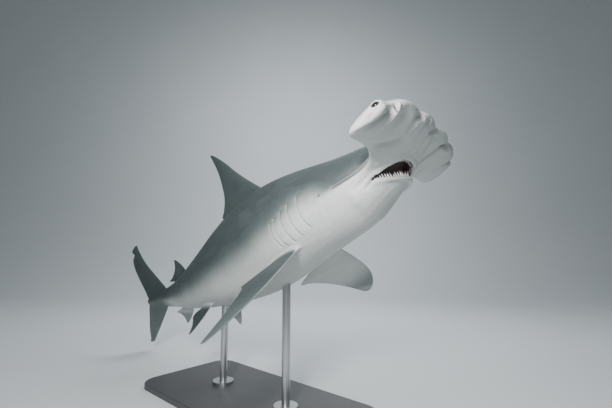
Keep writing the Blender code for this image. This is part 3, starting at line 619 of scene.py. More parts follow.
    def nostrils(self, x: Array, y: Array, z: Array, side: Side) -> Array:
        """Distance to the slit of one nostril, which is widest in its middle."""
        ends = (self.plan.on_hammer(*end, side.value) for end in self.plan.nostril_ends)
        t, away = nearest_on_line((x, y), *ends)
        half_width = self.nostril_half_width * (0.6 + 1.6 * t * (1 - t))
        return np.maximum(np.sqrt(away) - half_width, z + self.nostril_depth)

    def gills(self, x: Array, z: Array, trunk: Array) -> tuple[Array, Array]:
        """The relief of the gill flaps, and the distance to the slits between them."""
        lift, slits = np.zeros_like(trunk), np.full_like(trunk, self.far)
        deep = -trunk
        for station, top, bottom in self.plan.gill_slits:
            along = (2 * z - top - bottom) / (top - bottom)
            along = np.clip(along, -1.5, 1.5)
            line = station + self.slit_bow * (1 - along**2) - self.slit_bow / 2
            fade = np.clip(1.08 - along**2, 0, None)
            ahead = x - line
            flap = np.where(ahead < 0, ramp(ahead, -0.013, 0.0), -0.8 * ramp(-ahead, -0.007, 0.0))
            lift = lift + self.gill_lift * flap * np.sqrt(fade)
            leaning = ahead + self.slit_slant * np.clip(deep, -0.002, 1) - 0.0006
            blade = np.abs(leaning) - self.slit_half_width
            blade = np.maximum(blade, deep - self.slit_depth * np.sqrt(fade))
            blade = np.maximum(blade, (np.abs(along) - 1) * abs(top - bottom) / 2)
            slits = np.minimum(slits, blade)
        return lift, slits

    def head(self, x: Array, y: Array, z: Array) -> Array:
        """Distance to the head and neck with their mouth, eyes and nostrils."""
        skin = self.hammer(x, y, z)
        skin = soft_min(skin, self.trunk(x, y, z), self.neck_blend)
        skin = soft_min(skin, self.jaw(x, y, z), self.jaw_blend)
        skin = skin + self.folds(x, y, z)
        xs, ys, zs = x.ravel(), y.ravel(), z.ravel()
        front, back, half, top = self.mouth_reach
        rows = np.where((xs > front) & (xs < back))[0]
        columns, levels = np.where(np.abs(ys) < half)[0], np.where(zs < top)[0]
        part = np.ix_(rows, columns, levels)
        px, py, pz = x[rows], y[:, columns], z[:, :, levels]
        skin[part] = soft_min(skin[part], self.lips(px, py, pz), self.lip_blend)
        skin[part] = soft_max(skin[part], -self.mouth(px, py, pz), self.cut_blend)
        rows = np.where(xs < self.eye_reach[0])[0]
        for side in Side:
            columns = np.where(ys * side.value > self.eye_reach[1])[0]
            part = np.ix_(rows, columns, np.arange(len(zs)))
            px, py = x[rows], y[:, columns]
            swelling, opening = self.orbit(px, py, z, side)
            eyed = soft_max(soft_min(skin[part], swelling, self.lid_blend), -opening, 0.0010)
            skin[part] = soft_max(eyed, -self.nostrils(px, py, z, side), 0.0008)
        return skin

    def field(self, xs: Array, ys: Array, zs: Array) -> Array:
        """The whole skin's distance on a grid, the head first and then the body behind it."""
        full = np.full((len(xs), len(ys), len(zs)), self.far, np.float32)
        head, throat = xs < self.head_end, np.abs(ys) < self.throat_reach
        z = zs[None, None, :]
        full[head] = self.head(xs[head][:, None, None], ys[None, :, None], z)
        rest = np.ix_(~head, throat, np.ones(len(zs), bool))
        x, y = xs[~head][:, None, None], ys[throat][None, :, None]
        body = self.trunk(x, y, z)
        lift, slits = self.gills(x, z, body)
        full[rest] = soft_max(body - lift, -slits, 0.0005)
        return full


def outline_distance(px: Array, pz: Array, line: Array) -> Array:
    """Signed distance from points of a plane to a closed outline, negative inside."""
    best = np.full(px.shape, np.inf)
    inside = np.zeros(px.shape, bool)
    for (ax, az), (bx, bz) in zip(line, np.roll(line, -1, axis=0)):
        dx, dz = bx - ax, bz - az
        t = np.clip(((px - ax) * dx + (pz - az) * dz) / (dx * dx + dz * dz + 1e-18), 0, 1)
        best = np.minimum(best, (px - ax - t * dx) ** 2 + (pz - az - t * dz) ** 2)
        if az != bz:
            inside ^= ((az > pz) != (bz > pz)) & (px < dx * (pz - az) / dz + ax)
    return np.where(inside, -1.0, 1.0) * np.sqrt(best)


def spaced(*spans: Triple) -> Array:
    """Grid lines over neighbouring spans, each given as its start, its end and its step."""
    lines = []
    for start, end, step in spans:
        count = max(1, round((end - start) / step))
        lines.append(np.linspace(start, end, count, endpoint=False))
    return np.concatenate([*lines, [spans[-1][1]]])


def surface_net(values: Array, axes: tuple[Array, ...]) -> tuple[Array, Array]:
    """Draws a closed net of four-sided faces where a field on a grid crosses zero.

    Args:
        values: The field, negative inside.
        axes: The grid's lines along x, y and z.

    Returns:
        The net's points and its faces, which point outwards.
    """
    inside = values < 0
    corners = [(i, j, k) for i in (0, 1) for j in (0, 1) for k in (0, 1)]
    shape = tuple(n - 1 for n in values.shape)
    count = np.zeros(shape, np.int8)
    for i, j, k in corners:
        count += inside[i : i + shape[0], j : j + shape[1], k : k + shape[2]]
    active = (count > 0) & (count < 8)
    cells = np.argwhere(active)
    number = np.full(shape, -1, np.int32)
    number[active] = np.arange(len(cells))
    total, hits = np.zeros((len(cells), 3)), np.zeros(len(cells))
    for a in corners:
        for axis in range(3):
            if a[axis]:
                continue
            b = tuple(v + (n == axis) for n, v in enumerate(a))
            at_a, at_b = cells + a, cells + b
            va, vb = values[tuple(at_a.T)], values[tuple(at_b.T)]
            crossed = (va < 0) != (vb < 0)
            share = np.where(crossed, va / np.where(crossed, va - vb, 1.0), 0.0)
            for n in range(3):
                start, end = axes[n][at_a[:, n]], axes[n][at_b[:, n]]
                total[:, n] += np.where(crossed, start + share * (end - start), 0.0)
            hits += crossed
    points = total / hits[:, None]
    faces = []
    for axis in range(3):
        u, v = (axis + 1) % 3, (axis + 2) % 3
        lower = [slice(None)] * 3
        upper = [slice(None)] * 3
        lower[axis], upper[axis] = slice(0, -1), slice(1, None)
        for n in (u, v):
            lower[n] = upper[n] = slice(1, -1)
        crossing = np.argwhere(inside[tuple(lower)] != inside[tuple(upper)])
        step = np.zeros(3, int)
        step[[u, v]] = 1
        crossing = crossing + step
        du, dv = np.zeros(3, int), np.zeros(3, int)
        du[u], dv[v] = 1, 1
        ring = [crossing - du - dv, crossing - dv, crossing, crossing - du]
        quads = np.stack([number[tuple(c.T)] for c in ring], axis=1)
        outwards = inside[tuple(crossing.T)]
        quads[~outwards] = quads[~outwards][:, ::-1]
        faces.append(quads)
    return points, np.concatenate(faces)


@dataclass(frozen=True)
class Fin:
    """One fin, whose outline is a table of heights with the front and rear edges there."""

    name: str
    outline: Table
    foot: Triple = (0.0, 0.0, 0.0)
    span: Triple = (0.0, 0.0, 1.0)
    chord: Triple = (1.0, 0.0, 0.0)
    root_half: float = 0.009
    tip_half: float = 0.002
    rows: int = 40
    columns: int = 26
    curl: float = 0.0
    edge: float = 0.0010

    def build(self) -> bpy.types.Object:
        """The fin as a closed mesh, bent with the spine."""
        foot, span, chord = (np.array(v, dtype=float) for v in (self.foot, self.span, self.chord))
        span /= np.linalg.norm(span)
        normal = np.cross(chord, span)
        normal /= np.linalg.norm(normal)
        start, end = self.outline[0][0], self.outline[-1][0]
        spread = np.linspace(0, 1, self.rows + 1)
        heights = start + (end - start) * (1 - (1 - spread) ** 1.25)
        lead, trail = read_table(self.outline, heights)
        grow = np.clip((end - heights) / (end - start), 0.0, 1.0)
        half = (self.tip_half + (self.root_half - self.tip_half) * grow**0.9) / TOTAL_LENGTH
        across = (1 - np.cos(np.linspace(0, 0.95 * math.pi, self.columns + 1))) / 2
        across /= across[-1]
        wing = wing_section(across)
        points, sides = [], ({}, {})
        for i, height in enumerate(heights):
            for j, c in enumerate(across):
                bend = self.curl * (height / end) ** 2
                middle = foot + span * height + chord * (lead[i] + (trail[i] - lead[i]) * c) + normal * bend
                if j in (0, self.columns) or i == self.rows:
                    points.append(middle)
                    sides[0][i, j] = sides[1][i, j] = len(points) - 1
                    continue
                thick = max(half[i] * wing[j], self.edge / TOTAL_LENGTH)
                for side, sign in zip(sides, (1, -1)):
                    points.append(middle + normal * thick * sign)
                    side[i, j] = len(points) - 1
        faces = []
        for i in range(self.rows):
            for j in range(self.columns):
                ring = ((i, j), (i, j + 1), (i + 1, j + 1), (i + 1, j))
                faces.append([sides[0][p] for p in ring])
                faces.append([sides[1][p] for p in reversed(ring)])
        root = [sides[0][0, j] for j in range(self.columns + 1)]
        root += [sides[1][0, j] for j in range(self.columns - 1, 0, -1)]
        faces.append(root)
        made = new_object(self.name, SPINE.place(np.array(points)), faces)
        shape = bmesh.new()
        shape.from_mesh(made.data)
        bmesh.ops.recalc_face_normals(shape, faces=shape.faces)
        shape.to_mesh(made.data)
        shape.free()
        return made


FINS = (
    Fin(
        "first_dorsal",
        (
            (0.0600, 0.2680, 0.3860),
            (0.0820, 0.2870, 0.3960),
            (0.0880, 0.2920, 0.4120),
            (0.0930, 0.2970, 0.4190),
            (0.1010, 0.3040, 0.4120),
            (0.1200, 0.3200, 0.4000),
            (0.1500, 0.3430, 0.3950),
            (0.1800, 0.3630, 0.3960),
            (0.2050, 0.3820, 0.4010),
            (0.2190, 0.3950, 0.4050),
            (0.2260, 0.4030, 0.4070),
        ),
        root_half=0.021,
        tip_half=0.003,
        rows=64,
        columns=34,
    ),
    Fin(
        "second_dorsal",
        (
            (0.0180, 0.5860, 0.6460),
            (0.0290, 0.5930, 0.6680),
            (0.0330, 0.5960, 0.6970),
            (0.0390, 0.6010, 0.6860),
            (0.0500, 0.6120, 0.6700),
            (0.0620, 0.6280, 0.6620),
            (0.0720, 0.6460, 0.6620),
            (0.0770, 0.6560, 0.6620),
        ),
    ),
    Fin(
        "anal",
        (
            (0.0200, 0.5780, 0.6360),
            (0.0330, 0.5860, 0.6560),
            (0.0370, 0.5890, 0.6780),
            (0.0440, 0.5950, 0.6620),
            (0.0520, 0.6050, 0.6480),
            (0.0600, 0.6170, 0.6400),
            (0.0660, 0.6300, 0.6380),
        ),
        span=(0.0, 0.0, -1.0),
    ),
    Fin(
        "caudal",
        (
            (-0.0940, 0.8180, 0.8220),
            (-0.0880, 0.8080, 0.8200),
            (-0.0720, 0.7850, 0.8150),
            (-0.0550, 0.7630, 0.8090),
            (-0.0380, 0.7420, 0.8030),
            (-0.0210, 0.7220, 0.7990),
            (0.0000, 0.7160, 0.7970),
            (0.0220, 0.7220, 0.8060),
            (0.0400, 0.7450, 0.8200),
            (0.0700, 0.7850, 0.8480),
            (0.1000, 0.8260, 0.8780),
            (0.1300, 0.8660, 0.9060),
            (0.1470, 0.8890, 0.9150),
            (0.1570, 0.9030, 0.9340),
            (0.1680, 0.9180, 0.9420),
            (0.1800, 0.9350, 0.9420),
        ),
        root_half=0.020,
        tip_half=0.004,
        rows=110,
        columns=30,
        curl=0.070,
    ),
)
PECTORAL = Fin(
    "pectoral",
    (
        (-0.0220, -0.0080, 0.0480),
        (0.0000, 0.0000, 0.0600),
        (0.0080, 0.0010, 0.0900),
        (0.0160, 0.0018, 0.1100),
        (0.0280, 0.0026, 0.0990),
        (0.0500, 0.0055, 0.0870),
        (0.0750, 0.0100, 0.0790),
        (0.1000, 0.0180, 0.0740),
        (0.1240, 0.0320, 0.0710),
        (0.1410, 0.0470, 0.0690),
        (0.1490, 0.0580, 0.0660),
    ),
    foot=(0.226, 0.052, -0.050),
    root_half=0.017,
    tip_half=0.003,
    rows=60,
    columns=32,
)
PELVIC = Fin(
    "pelvic",
    (
        (-0.014, -0.004, 0.040),
        (0.000, 0.000, 0.044),
        (0.006, 0.003, 0.060),
        (0.012, 0.006, 0.064),
        (0.024, 0.013, 0.055),
        (0.036, 0.023, 0.048),
        (0.046, 0.033, 0.046),
        (0.052, 0.041, 0.045),
    ),
    foot=(0.468, 0.026, -0.050),
)


def on_side(fin: Fin, side: Side, drop: float, incidence: float = 0.0) -> Fin:
    """One fin of a pair.

    Args:
        fin: The pair's sizes, with the foot of the right fin.
        side: The side of the body that the fin is on.
        drop: How far it slopes down outwards, in degrees.
        incidence: How far its rear edge is lifted, in degrees.

    Returns:
        The fin's own sizes.
    """
    lift, tilt = math.radians(drop), math.radians(incidence)
    up = np.array([0.0, side.value * math.sin(lift), math.cos(lift)])
    chord = math.cos(tilt) * np.array([1.0, 0.0, 0.0]) + math.sin(tilt) * up
    x, y, z = fin.foot
    return replace(
        fin,
        name=f"{fin.name}_{side.name.lower()}",
        foot=(x, side.value * y, z),
        span=(0.0, side.value * math.cos(lift), -math.sin(lift)),
        chord=tuple(chord),
    )


@dataclass(frozen=True)
class Tones:
    """How dark the skin is in its main parts, what makes it turn from pale to dark, and how dark its tail
    is painted as shade.
    """

    facing_share: float = 0.50
    height_share: float = 0.75
    pale_below: float = -0.42
    dark_above: float = 0.62
    rim_height: float = -0.0050
    neck_height: float = -0.0095
    flank_extra: float = 0.42
    dorsal_fins: float = 0.95
    anal_fin: float = 0.62
    # Painted shade: how dark the tail is made, top and bottom, for the light falling off towards it
    tail: float = 0.80


@dataclass
class Skin:
    """One skin over the whole animal, grown from its distance field and joined with its fins."""

    shape: SkinShape = field(default_factory=SkinShape)
    most_triangles: int = 150_000
    seam_reach: float = 0.030
    seam_rounds: int = 18
    tones: Tones = field(default_factory=Tones)
    name: str = "shark_skin"

    def trunk_and_head(self) -> bpy.types.Object:
        """The skin without its fins."""
        xs = spaced(
            (-0.004, 0.050, 0.0009),
            (0.050, 0.128, 0.0011),
            (0.128, 0.182, 0.0020),
            (0.182, 0.252, 0.0009),
            (0.252, 0.808, 0.0036),
        )
        half = spaced((0.0, 0.045, 0.0011), (0.045, 0.100, 0.0013), (0.100, 0.130, 0.0009))
        ys = np.concatenate([-half[:0:-1], half])
        zs = spaced((-0.083, -0.046, 0.0018), (-0.046, 0.016, 0.0009), (0.016, 0.098, 0.0020))
        values = self.shape.field(xs, ys, zs)
        points, faces = surface_net(values, (xs, ys, zs))
        LOG.info("net of %d points and %d faces", len(points), len(faces))
        body = new_object(self.name, SPINE.place(points), faces)
        relax(body.data, np.ones(len(body.data.vertices)), 2)
        thin = body.modifiers.new("thin", "DECIMATE")
        thin.ratio = min(1.0, self.most_triangles / (2 * len(faces)))
        bake(body)
        return body

    def join(self, body: bpy.types.Object, fins: list[bpy.types.Object]) -> None:
        """Unites the body with its fins and softens the creases where they meet."""
        for n, piece in enumerate([body, *fins]):
            for word in ("body", "fin"):
                material = bpy.data.materials.get(word) or bpy.data.materials.new(word)
                piece.data.materials.append(material)
            if n:
                piece.data.polygons.foreach_set("material_index", [1] * len(piece.data.polygons))
        group = bpy.data.collections.new("fins")
        bpy.context.scene.collection.children.link(group)
        for piece in fins:
            group.objects.link(piece)
            bpy.context.scene.collection.objects.unlink(piece)
        unite = body.modifiers.new("unite", "BOOLEAN")
        unite.operation = "UNION"
        unite.operand_type = "COLLECTION"
        unite.collection = group
        unite.solver = "EXACT"
        bake(body)
        for piece in fins:
            bpy.data.objects.remove(piece)
        bpy.data.collections.remove(group)
        self.soften(body.data)

    def soften(self, mesh: bpy.types.Mesh) -> None:
        """Rounds the seams between body and fins by moving the points near them."""
        edges, points = edges_of(mesh), points_of(mesh)
        kinds = np.zeros((len(points), 2), bool)
        corner_points = np.empty(len(mesh.loops), np.int32)
        mesh.loops.foreach_get("vertex_index", corner_points)
        kind, size = np.empty(len(mesh.polygons), np.int32), np.empty(len(mesh.polygons), np.int32)
        mesh.polygons.foreach_get("material_index", kind)
        mesh.polygons.foreach_get("loop_total", size)
        corner_kinds = np.repeat(np.clip(kind, 0, 1), size)
        for n in (0, 1):
            kinds[corner_points[corner_kinds == n], n] = True
        seam = np.where(kinds.all(axis=1))[0]
        LOG.info("seams of %d points in %d edges", len(seam), len(edges))
        tree = KDTree(len(seam))
        for n in seam:
            tree.insert(Vector(points[n]), int(n))
        tree.balance()
        away = np.array([tree.find(Vector(p))[2] for p in points])
        relax(mesh, 1 - smooth_step(away / self.seam_reach), self.seam_rounds)

    def tone(self, straight: Array, facing: Array, outside: Array) -> Array:
        """How dark each place is, from 0 on the belly to 1 on the back, with painted shade on the tail.

        Args:
            straight: Straight-body places.
            facing: How far each place faces up, from -1 to 1.
            outside: How far each place stands out from the trunk.

        Returns:
            The tones.
        """
        tones, (x, y, z) = self.tones, straight.T
        width, above, below = read_table(self.shape.plan.trunk, x)
        height = np.clip(z / np.where(z > 0, above, below), -1, 1)
        on_hammer = ramp(-x, -0.105, -0.085) * ramp(np.abs(y) / width, 0.70, 1.10)
        rim = np.clip((z - tones.rim_height) / 0.010, -1, 1)
        height = height * (1 - on_hammer) + rim * on_hammer
        on_neck = ramp(x, 0.078, 0.088) * ramp(-x, -0.175, -0.120) * ramp(-np.abs(y), -0.075, -0.060)
        height = height * (1 - on_neck) + np.clip((z - tones.neck_height) / 0.0065, -1, 1) * on_neck
        darker = tones.flank_extra * ramp(x, 0.15, 0.33)
        dark = tones.facing_share * facing + tones.height_share * height + darker
        tone = ramp(dark, tones.pale_below, tones.dark_above)
        on_fin, paired = self.fin_marks(straight, outside)
        upright = np.where(z > 0, tones.dorsal_fins, tones.anal_fin)
        fin_tone = paired * ramp(facing, -0.30, 0.40) + (1 - paired) * upright
        tone = tone * (1 - on_fin) + fin_tone * on_fin
        # Painted shade: the tail is darkened all round, as light falls off towards it
        return np.maximum(tone, ramp(x, 0.64, 0.74) * tones.tail)

    def fin_marks(self, straight: Array, outside: Array) -> tuple[Array, Array]:
        """Which places lie on fins, and which of them on fins that come in pairs."""
        x, y, z = straight.T
        on_fin = ramp(outside, 0.002, 0.012) * ramp(x, 0.13, 0.16)
        sideways = np.abs(y) / np.maximum(np.hypot(y, z), 1e-6)
        return on_fin, ramp(sideways, 0.25, 0.45) * ramp(-x, -0.58, -0.56)

    def mark(self, mesh: bpy.types.Mesh) -> None:
        """Stores on the skin what its material is painted by, including where shade is painted in grooves,
        gill slits and the mouth.
        """
        world = points_of(mesh)
        straight = SPINE.straighten(world)
        normals = np.empty(len(world) * 3, np.float32)
        mesh.vertex_normals.foreach_get("vector", normals)
        facing = SPINE.straighten_direction(straight[:, 0], normals.reshape(-1, 3))
        x, y, z = straight.T
        width, above, below = read_table(self.shape.plan.trunk, x)
        reach = np.where(z > 0, above, below)
        form = np.sqrt((y / width) ** 2 + (z / reach) ** 2)
        outside = (form - 1) * np.minimum(width, reach)
        tone = self.tone(straight, facing[:, 2], outside)
        columns = [c[:, None, None] for c in (x, y, z)]
        near = (x > 0.052) & (x < 0.115) & (np.abs(y) < 0.046) & (z < 0.0)
        mouth = np.full(len(x), 0.02)
        mouth[near] = self.shape.mouth(*[c[near] for c in columns])[:, 0, 0]
        # The mouth's inside, counting for more towards its roof under the head, where its painted shade is
        # darkest
        inside = ramp(-mouth, -0.0010, 0.0004) * (0.40 + 0.60 * ramp(z, -0.032, -0.014))
        # Painted shade in the grooves of the head and neck: the deeper a place lies in one, the darker it
        # is painted
        crease = np.zeros(len(x))
        near = x < self.shape.head_end
        crease[near] = ramp(self.shape.folds(*[c[near] for c in columns])[:, 0, 0], 0.0012, 0.0058)
        slits = np.full(len(x), 0.02)
        near = (x > 0.17) & (x < 0.262)
        flank = [c[near] for c in columns]
        _, gaps = self.shape.gills(flank[0], flank[2], self.shape.trunk(*flank))
        slits[near] = gaps[:, 0, 0]
        # Painted shade inside the gill slits, over the gills' own dark red
        deep = ramp(-outside, 0.0003, 0.0020) * ramp(-slits, -0.0007, 0.0)
        on_fin, paired = self.fin_marks(straight, outside)
        tip = on_fin * paired * ramp(outside, 0.060, 0.125) * ramp(-x, -0.45, -0.42)
        # The crease and slit marks carry painted shade, and the mouth mark partly does
        marks = {"tone": tone, "mouth_and_depth_shade": inside, "slit": deep, "tip": tip, "crease": crease}
        for word, values in marks.items():
            kept = mesh.attributes.new(word, "FLOAT", "POINT")
            kept.data.foreach_set("value", values.astype(np.float32))
        rest = mesh.attributes.new("rest", "FLOAT_VECTOR", "POINT")
        rest.data.foreach_set("vector", (straight * TOTAL_LENGTH).ravel().astype(np.float32))

    def build(self) -> bpy.types.Object:
        """The finished skin with its paint marks."""
        body = self.trunk_and_head()
        fins = (
            *FINS,
            on_side(PECTORAL, Side.RIGHT, 31, -1),
            on_side(PECTORAL, Side.LEFT, 22, -10),
            on_side(PELVIC, Side.RIGHT, 52),
            on_side(PELVIC, Side.LEFT, 62),
        )
        self.join(body, [fin.build() for fin in fins])
        self.mark(body.data)
        body.data.materials.clear()
        body.data.materials.append(skin_material())
        body.data.polygons.foreach_set("material_index", [0] * len(body.data.polygons))
        body.data.shade_smooth()
        body.data.update()
        return body


def fill(tree: bpy.types.NodeTree, node: bpy.types.Node, inputs: Inputs) -> None:
    """Fills a node's inputs, by name or number: a socket is linked and anything else is set."""
    for key, value in inputs.items():
        socket = node.inputs[key]
        if isinstance(value, Socket):
            tree.links.new(value, socket)
        elif value is not None:
            socket.default_value = (*value, 1.0) if socket.type == "RGBA" else value


def add_node(tree: bpy.types.NodeTree, kind: str, inputs: Inputs, **settings: object) -> Outputs:
    """Adds a node to a tree.

    Args:
        tree: The tree.
        kind: The node's type.
        inputs: What goes into its inputs.
        settings: What the node itself is set to.

    Returns:
        The node's outputs.
    """
    made = tree.nodes.new(kind)
    for word, value in settings.items():
        setattr(made, word, value)
    fill(tree, made, inputs)
    return made.outputs


class Nodes:
    """A short way to write a procedural material."""

    def __init__(self, name: str) -> None:
        self.material = bpy.data.materials.new(name)
        self.material.use_nodes = True
        self.tree = self.material.node_tree
        self.shader = self.tree.nodes["Principled BSDF"]

    def coordinates(self) -> Socket:
        """The piece's own coordinates, in metres."""
        return add_node(self.tree, "ShaderNodeTexCoord", {})["Object"]

    def attribute(self, name: str, output: str = "Fac") -> Socket:
        """A stored paint mark."""
        return add_node(self.tree, "ShaderNodeAttribute", {}, attribute_name=name)[output]

    def noise(self, at: Socket, scale: float, detail: float = 4.0, rough: float = 0.55) -> Socket:
        """Noise from 0 to 1."""
        inputs = {"Vector": at, "Scale": scale, "Detail": detail, "Roughness": rough}
        return add_node(self.tree, "ShaderNodeTexNoise", inputs)["Fac"]

    def cells(self, at: Socket, scale: float) -> Socket:
        """Distance to the middle of scattered cells."""
        return add_node(self.tree, "ShaderNodeTexVoronoi", {"Vector": at, "Scale": scale})["Distance"]

    def math(self, operation: str, *values: object, clamp: bool = False) -> Socket:
        """One sum."""
        inputs = dict(enumerate(values))
        return add_node(self.tree, "ShaderNodeMath", inputs, operation=operation, use_clamp=clamp)[0]

    def span(self, value: object, low: float, high: float, start: float = 0.0, end: float = 1.0) -> Socket:
        """A value's place between low and high, as a number from start to end."""
        inputs = {"Value": value, "From Min": low, "From Max": high, "To Min": start, "To Max": end}
        return add_node(self.tree, "ShaderNodeMapRange", inputs, interpolation_type="SMOOTHSTEP")["Result"]

    def stretch(self, vector: Socket, scale: Triple) -> Socket:
        """Coordinates scaled along their axes."""
        return add_node(self.tree, "ShaderNodeVectorMath", {0: vector, 1: scale}, operation="MULTIPLY")[0]

    def away(self, vector: Socket, place: Triple) -> Socket:
        """Distance from a place."""
        inputs = {0: vector, 1: place}
        return add_node(self.tree, "ShaderNodeVectorMath", inputs, operation="DISTANCE")["Value"]

    def ramp(self, value: Socket, stops: tuple[tuple[float, Triple], ...]) -> Socket:
        """A run of colours."""
        node = self.tree.nodes.new("ShaderNodeValToRGB")
        node.color_ramp.interpolation = "B_SPLINE"
        elements = node.color_ramp.elements
        while len(elements) < len(stops):
            elements.new(0.5)
        for element, (place, colour) in zip(elements, stops):
            element.position = place
            element.color = (*colour, 1.0)
        fill(self.tree, node, {"Fac": value})
        return node.outputs["Color"]

    def mix(self, factor: object, a: object, b: object, blend: str = "MIX") -> Socket:
        """Two colours mixed. The node's colours go in at 6 and 7 and come out at 2."""
        inputs = {"Factor": factor, 6: a, 7: b}
        return add_node(self.tree, "ShaderNodeMix", inputs, data_type="RGBA", blend_type=blend)[2]

    def bump(self, height: Socket, distance: float, strength: float, under: Socket | None = None) -> Socket:
        """A relief for the shader's normal, on top of another one."""
        inputs = {"Height": height, "Distance": distance, "Strength": strength, "Normal": under}
        return add_node(self.tree, "ShaderNodeBump", inputs)["Normal"]

    def finish(
        self, colour: Socket, roughness: object, normal: Socket | None, **constants: float
    ) -> bpy.types.Material:
        """Wires the shader up and returns the material."""
        inputs = {"Base Color": colour, "Roughness": roughness, "Normal": normal}
        inputs |= {word.replace("_", " "): value for word, value in constants.items()}
        fill(self.tree, self.shader, inputs)
        return self.material


@dataclass(frozen=True)
class SkinFinish:
    """Colours of the skin, linear, some of them painted shade, and where its one old scar lies on the
    straight body.
    """

    belly: Triple = (0.66, 0.69, 0.67)
    flank: Triple = (0.34, 0.385, 0.375)
    shoulder: Triple = (0.120, 0.148, 0.148)
    back: Triple = (0.050, 0.068, 0.072)
    # The gum's own colour, and a dark throat colour that is mostly painted shade deep in the mouth
    gum: Triple = (0.26, 0.17, 0.15)
    throat: Triple = (0.110, 0.078, 0.082)
    # The gill slits' colour: the gills' own dark red, darkened into painted shade
    slit: Triple = (0.050, 0.030, 0.030)
    dusk: Triple = (0.085, 0.105, 0.110)
    scar: Triple = (0.10, 0.07, 0.07)
    scar_at: Triple = (0.1597, 0.0558, -0.0047)
    # Painted shade: the dark colour that the grooves are painted with
    fold: Triple = (0.10, 0.12, 0.12)
    roughness: float = 0.50


def skin_material(finish: SkinFinish = SkinFinish()) -> bpy.types.Material:
    """Shark skin: dark above, pale below, mottled, finely grained and marked, with painted shade in its
    grooves, gill slits and mouth and on its tail.
    """
    m = Nodes("shark_skin")
    at, rest = m.coordinates(), m.attribute("rest", "Vector")
    broad, fine = m.noise(at, 5.0, 5.0), m.noise(at, 46.0, 4.0, 0.6)
    streak = m.noise(m.stretch(rest, (3.0, 26.0, 26.0)), 1.0, 4.0, 0.6)
    drift = m.math("MULTIPLY_ADD", broad, 0.26, -0.13)
    drift = m.math("ADD", drift, m.math("MULTIPLY_ADD", streak, 0.20, -0.10))
    tone = m.math("ADD", m.attribute("tone"), drift, clamp=True)
    stops = ((0.06, finish.belly), (0.40, finish.flank), (0.72, finish.shoulder), (0.98, finish.back))
    colour = m.ramp(tone, stops)
    grey = m.math("ADD", m.math("MULTIPLY", fine, 0.5), m.math("MULTIPLY", streak, 0.5))
    shade = m.ramp(m.span(grey, 0.25, 0.75, 0.78, 1.08), ((0.0, (0.0, 0.0, 0.0)), (1.0, (1.0, 1.0, 1.0))))
    colour = m.mix(1.0, colour, shade, "MULTIPLY")
    freckle = m.math("MULTIPLY", m.span(m.cells(at, 85.0), 0.05, 0.20, 1.0, 0.0), m.span(broad, 0.45, 0.60))
    colour = m.mix(m.math("MULTIPLY", freckle, 0.20), colour, finish.shoulder)
    dusky = m.math("MULTIPLY", m.attribute("tip"), m.span(broad, 0.3, 0.6, 0.45, 0.85))
    colour = m.mix(dusky, colour, finish.dusk)
    place = tuple(v * TOTAL_LENGTH for v in finish.scar_at)
    ragged = m.math("ADD", m.away(rest, place), m.math("MULTIPLY", fine, 0.006))
    colour = m.mix(m.span(ragged, 0.006, 0.012, 0.85, 0.0), colour, finish.scar)
    # Painted shade: the grooves darkened towards the fold colour
    colour = m.mix(m.math("MULTIPLY", m.attribute("crease"), 0.55), colour, finish.fold)
    mouth = m.attribute("mouth_and_depth_shade")
    # The gum's own colour, darkening into painted shade deeper inside and towards the roof
    depth = m.math("MULTIPLY", mouth, m.span(fine, 0.2, 0.8, 0.7, 1.0))
    deep = m.ramp(depth, ((0.35, finish.gum), (1.0, finish.throat)))
    colour = m.mix(m.span(mouth, 0.10, 0.55), colour, deep)
    # The gill slits: the gills' own dark red, darkened into painted shade
    colour = m.mix(m.attribute("slit"), colour, finish.slit)
    grain = m.bump(m.noise(at, 620.0, 2.0), 0.00035, 0.35)
    pores = m.bump(m.span(m.cells(at, 150.0), 0.05, 0.16), 0.0006, 0.30, grain)
    folds = m.bump(m.noise(m.stretch(rest, (9.0, 60.0, 60.0)), 1.0, 3.0), 0.0040, 0.30, pores)
    creases = m.bump(m.noise(m.stretch(rest, (70.0, 14.0, 14.0)), 1.0, 2.0), 0.0015, 0.18, folds)
    patches = m.math("ADD", fine, m.math("MULTIPLY", broad, 0.5))
    roughness = m.span(patches, 0.4, 1.1, finish.roughness - 0.08, finish.roughness + 0.14)
    return m.finish(colour, roughness, creases, Coat_Weight=0.05, Coat_Roughness=0.35)


@dataclass
class Eye:
    """One eyeball, nearly all dark, with a faintly paler iris."""

    side: Side
    rings: int = 48
    radius: float = 0.0188

    def build(self) -> bpy.types.Object:
        """The eyeball as a mesh that knows how far each point is from its gaze."""
        centre = np.array([*PLAN.on_hammer(*PLAN.eye_at[:2], self.side.value), PLAN.eye_at[2]])
        axes = [centre + axis * 0.001 for axis in PLAN.eye_axes(self.side)]
        ends = SPINE.place(np.array([centre, *axes]))
        basis = (ends[1:] - ends[0]) / np.linalg.norm(ends[1:] - ends[0], axis=1)[:, None]
        shape = bmesh.new()
        bmesh.ops.create_uvsphere(shape, u_segments=2 * self.rings, v_segments=self.rings, radius=1.0)
        name = f"eyeball_{self.side.name.lower()}"
        mesh = bpy.data.meshes.new(name)
        shape.to_mesh(mesh)
        shape.free()
        local = points_of(mesh)
        bulge = 1 + 0.03 * ramp(local[:, 2], 0.80, 1.0)
        world = ends[0] + (local * bulge[:, None]) @ basis * self.radius
        mesh.vertices.foreach_set("co", world.ravel().astype(np.float32))
        for word, column in (("fore", 0), ("rise", 1), ("out", 2)):
            mark = mesh.attributes.new(word, "FLOAT", "POINT")
            mark.data.foreach_set("value", local[:, column].astype(np.float32))
        mesh.shade_smooth()
        mesh.materials.append(eye_material())
        made = bpy.data.objects.new(name, mesh)
        bpy.context.scene.collection.objects.link(made)
        return made


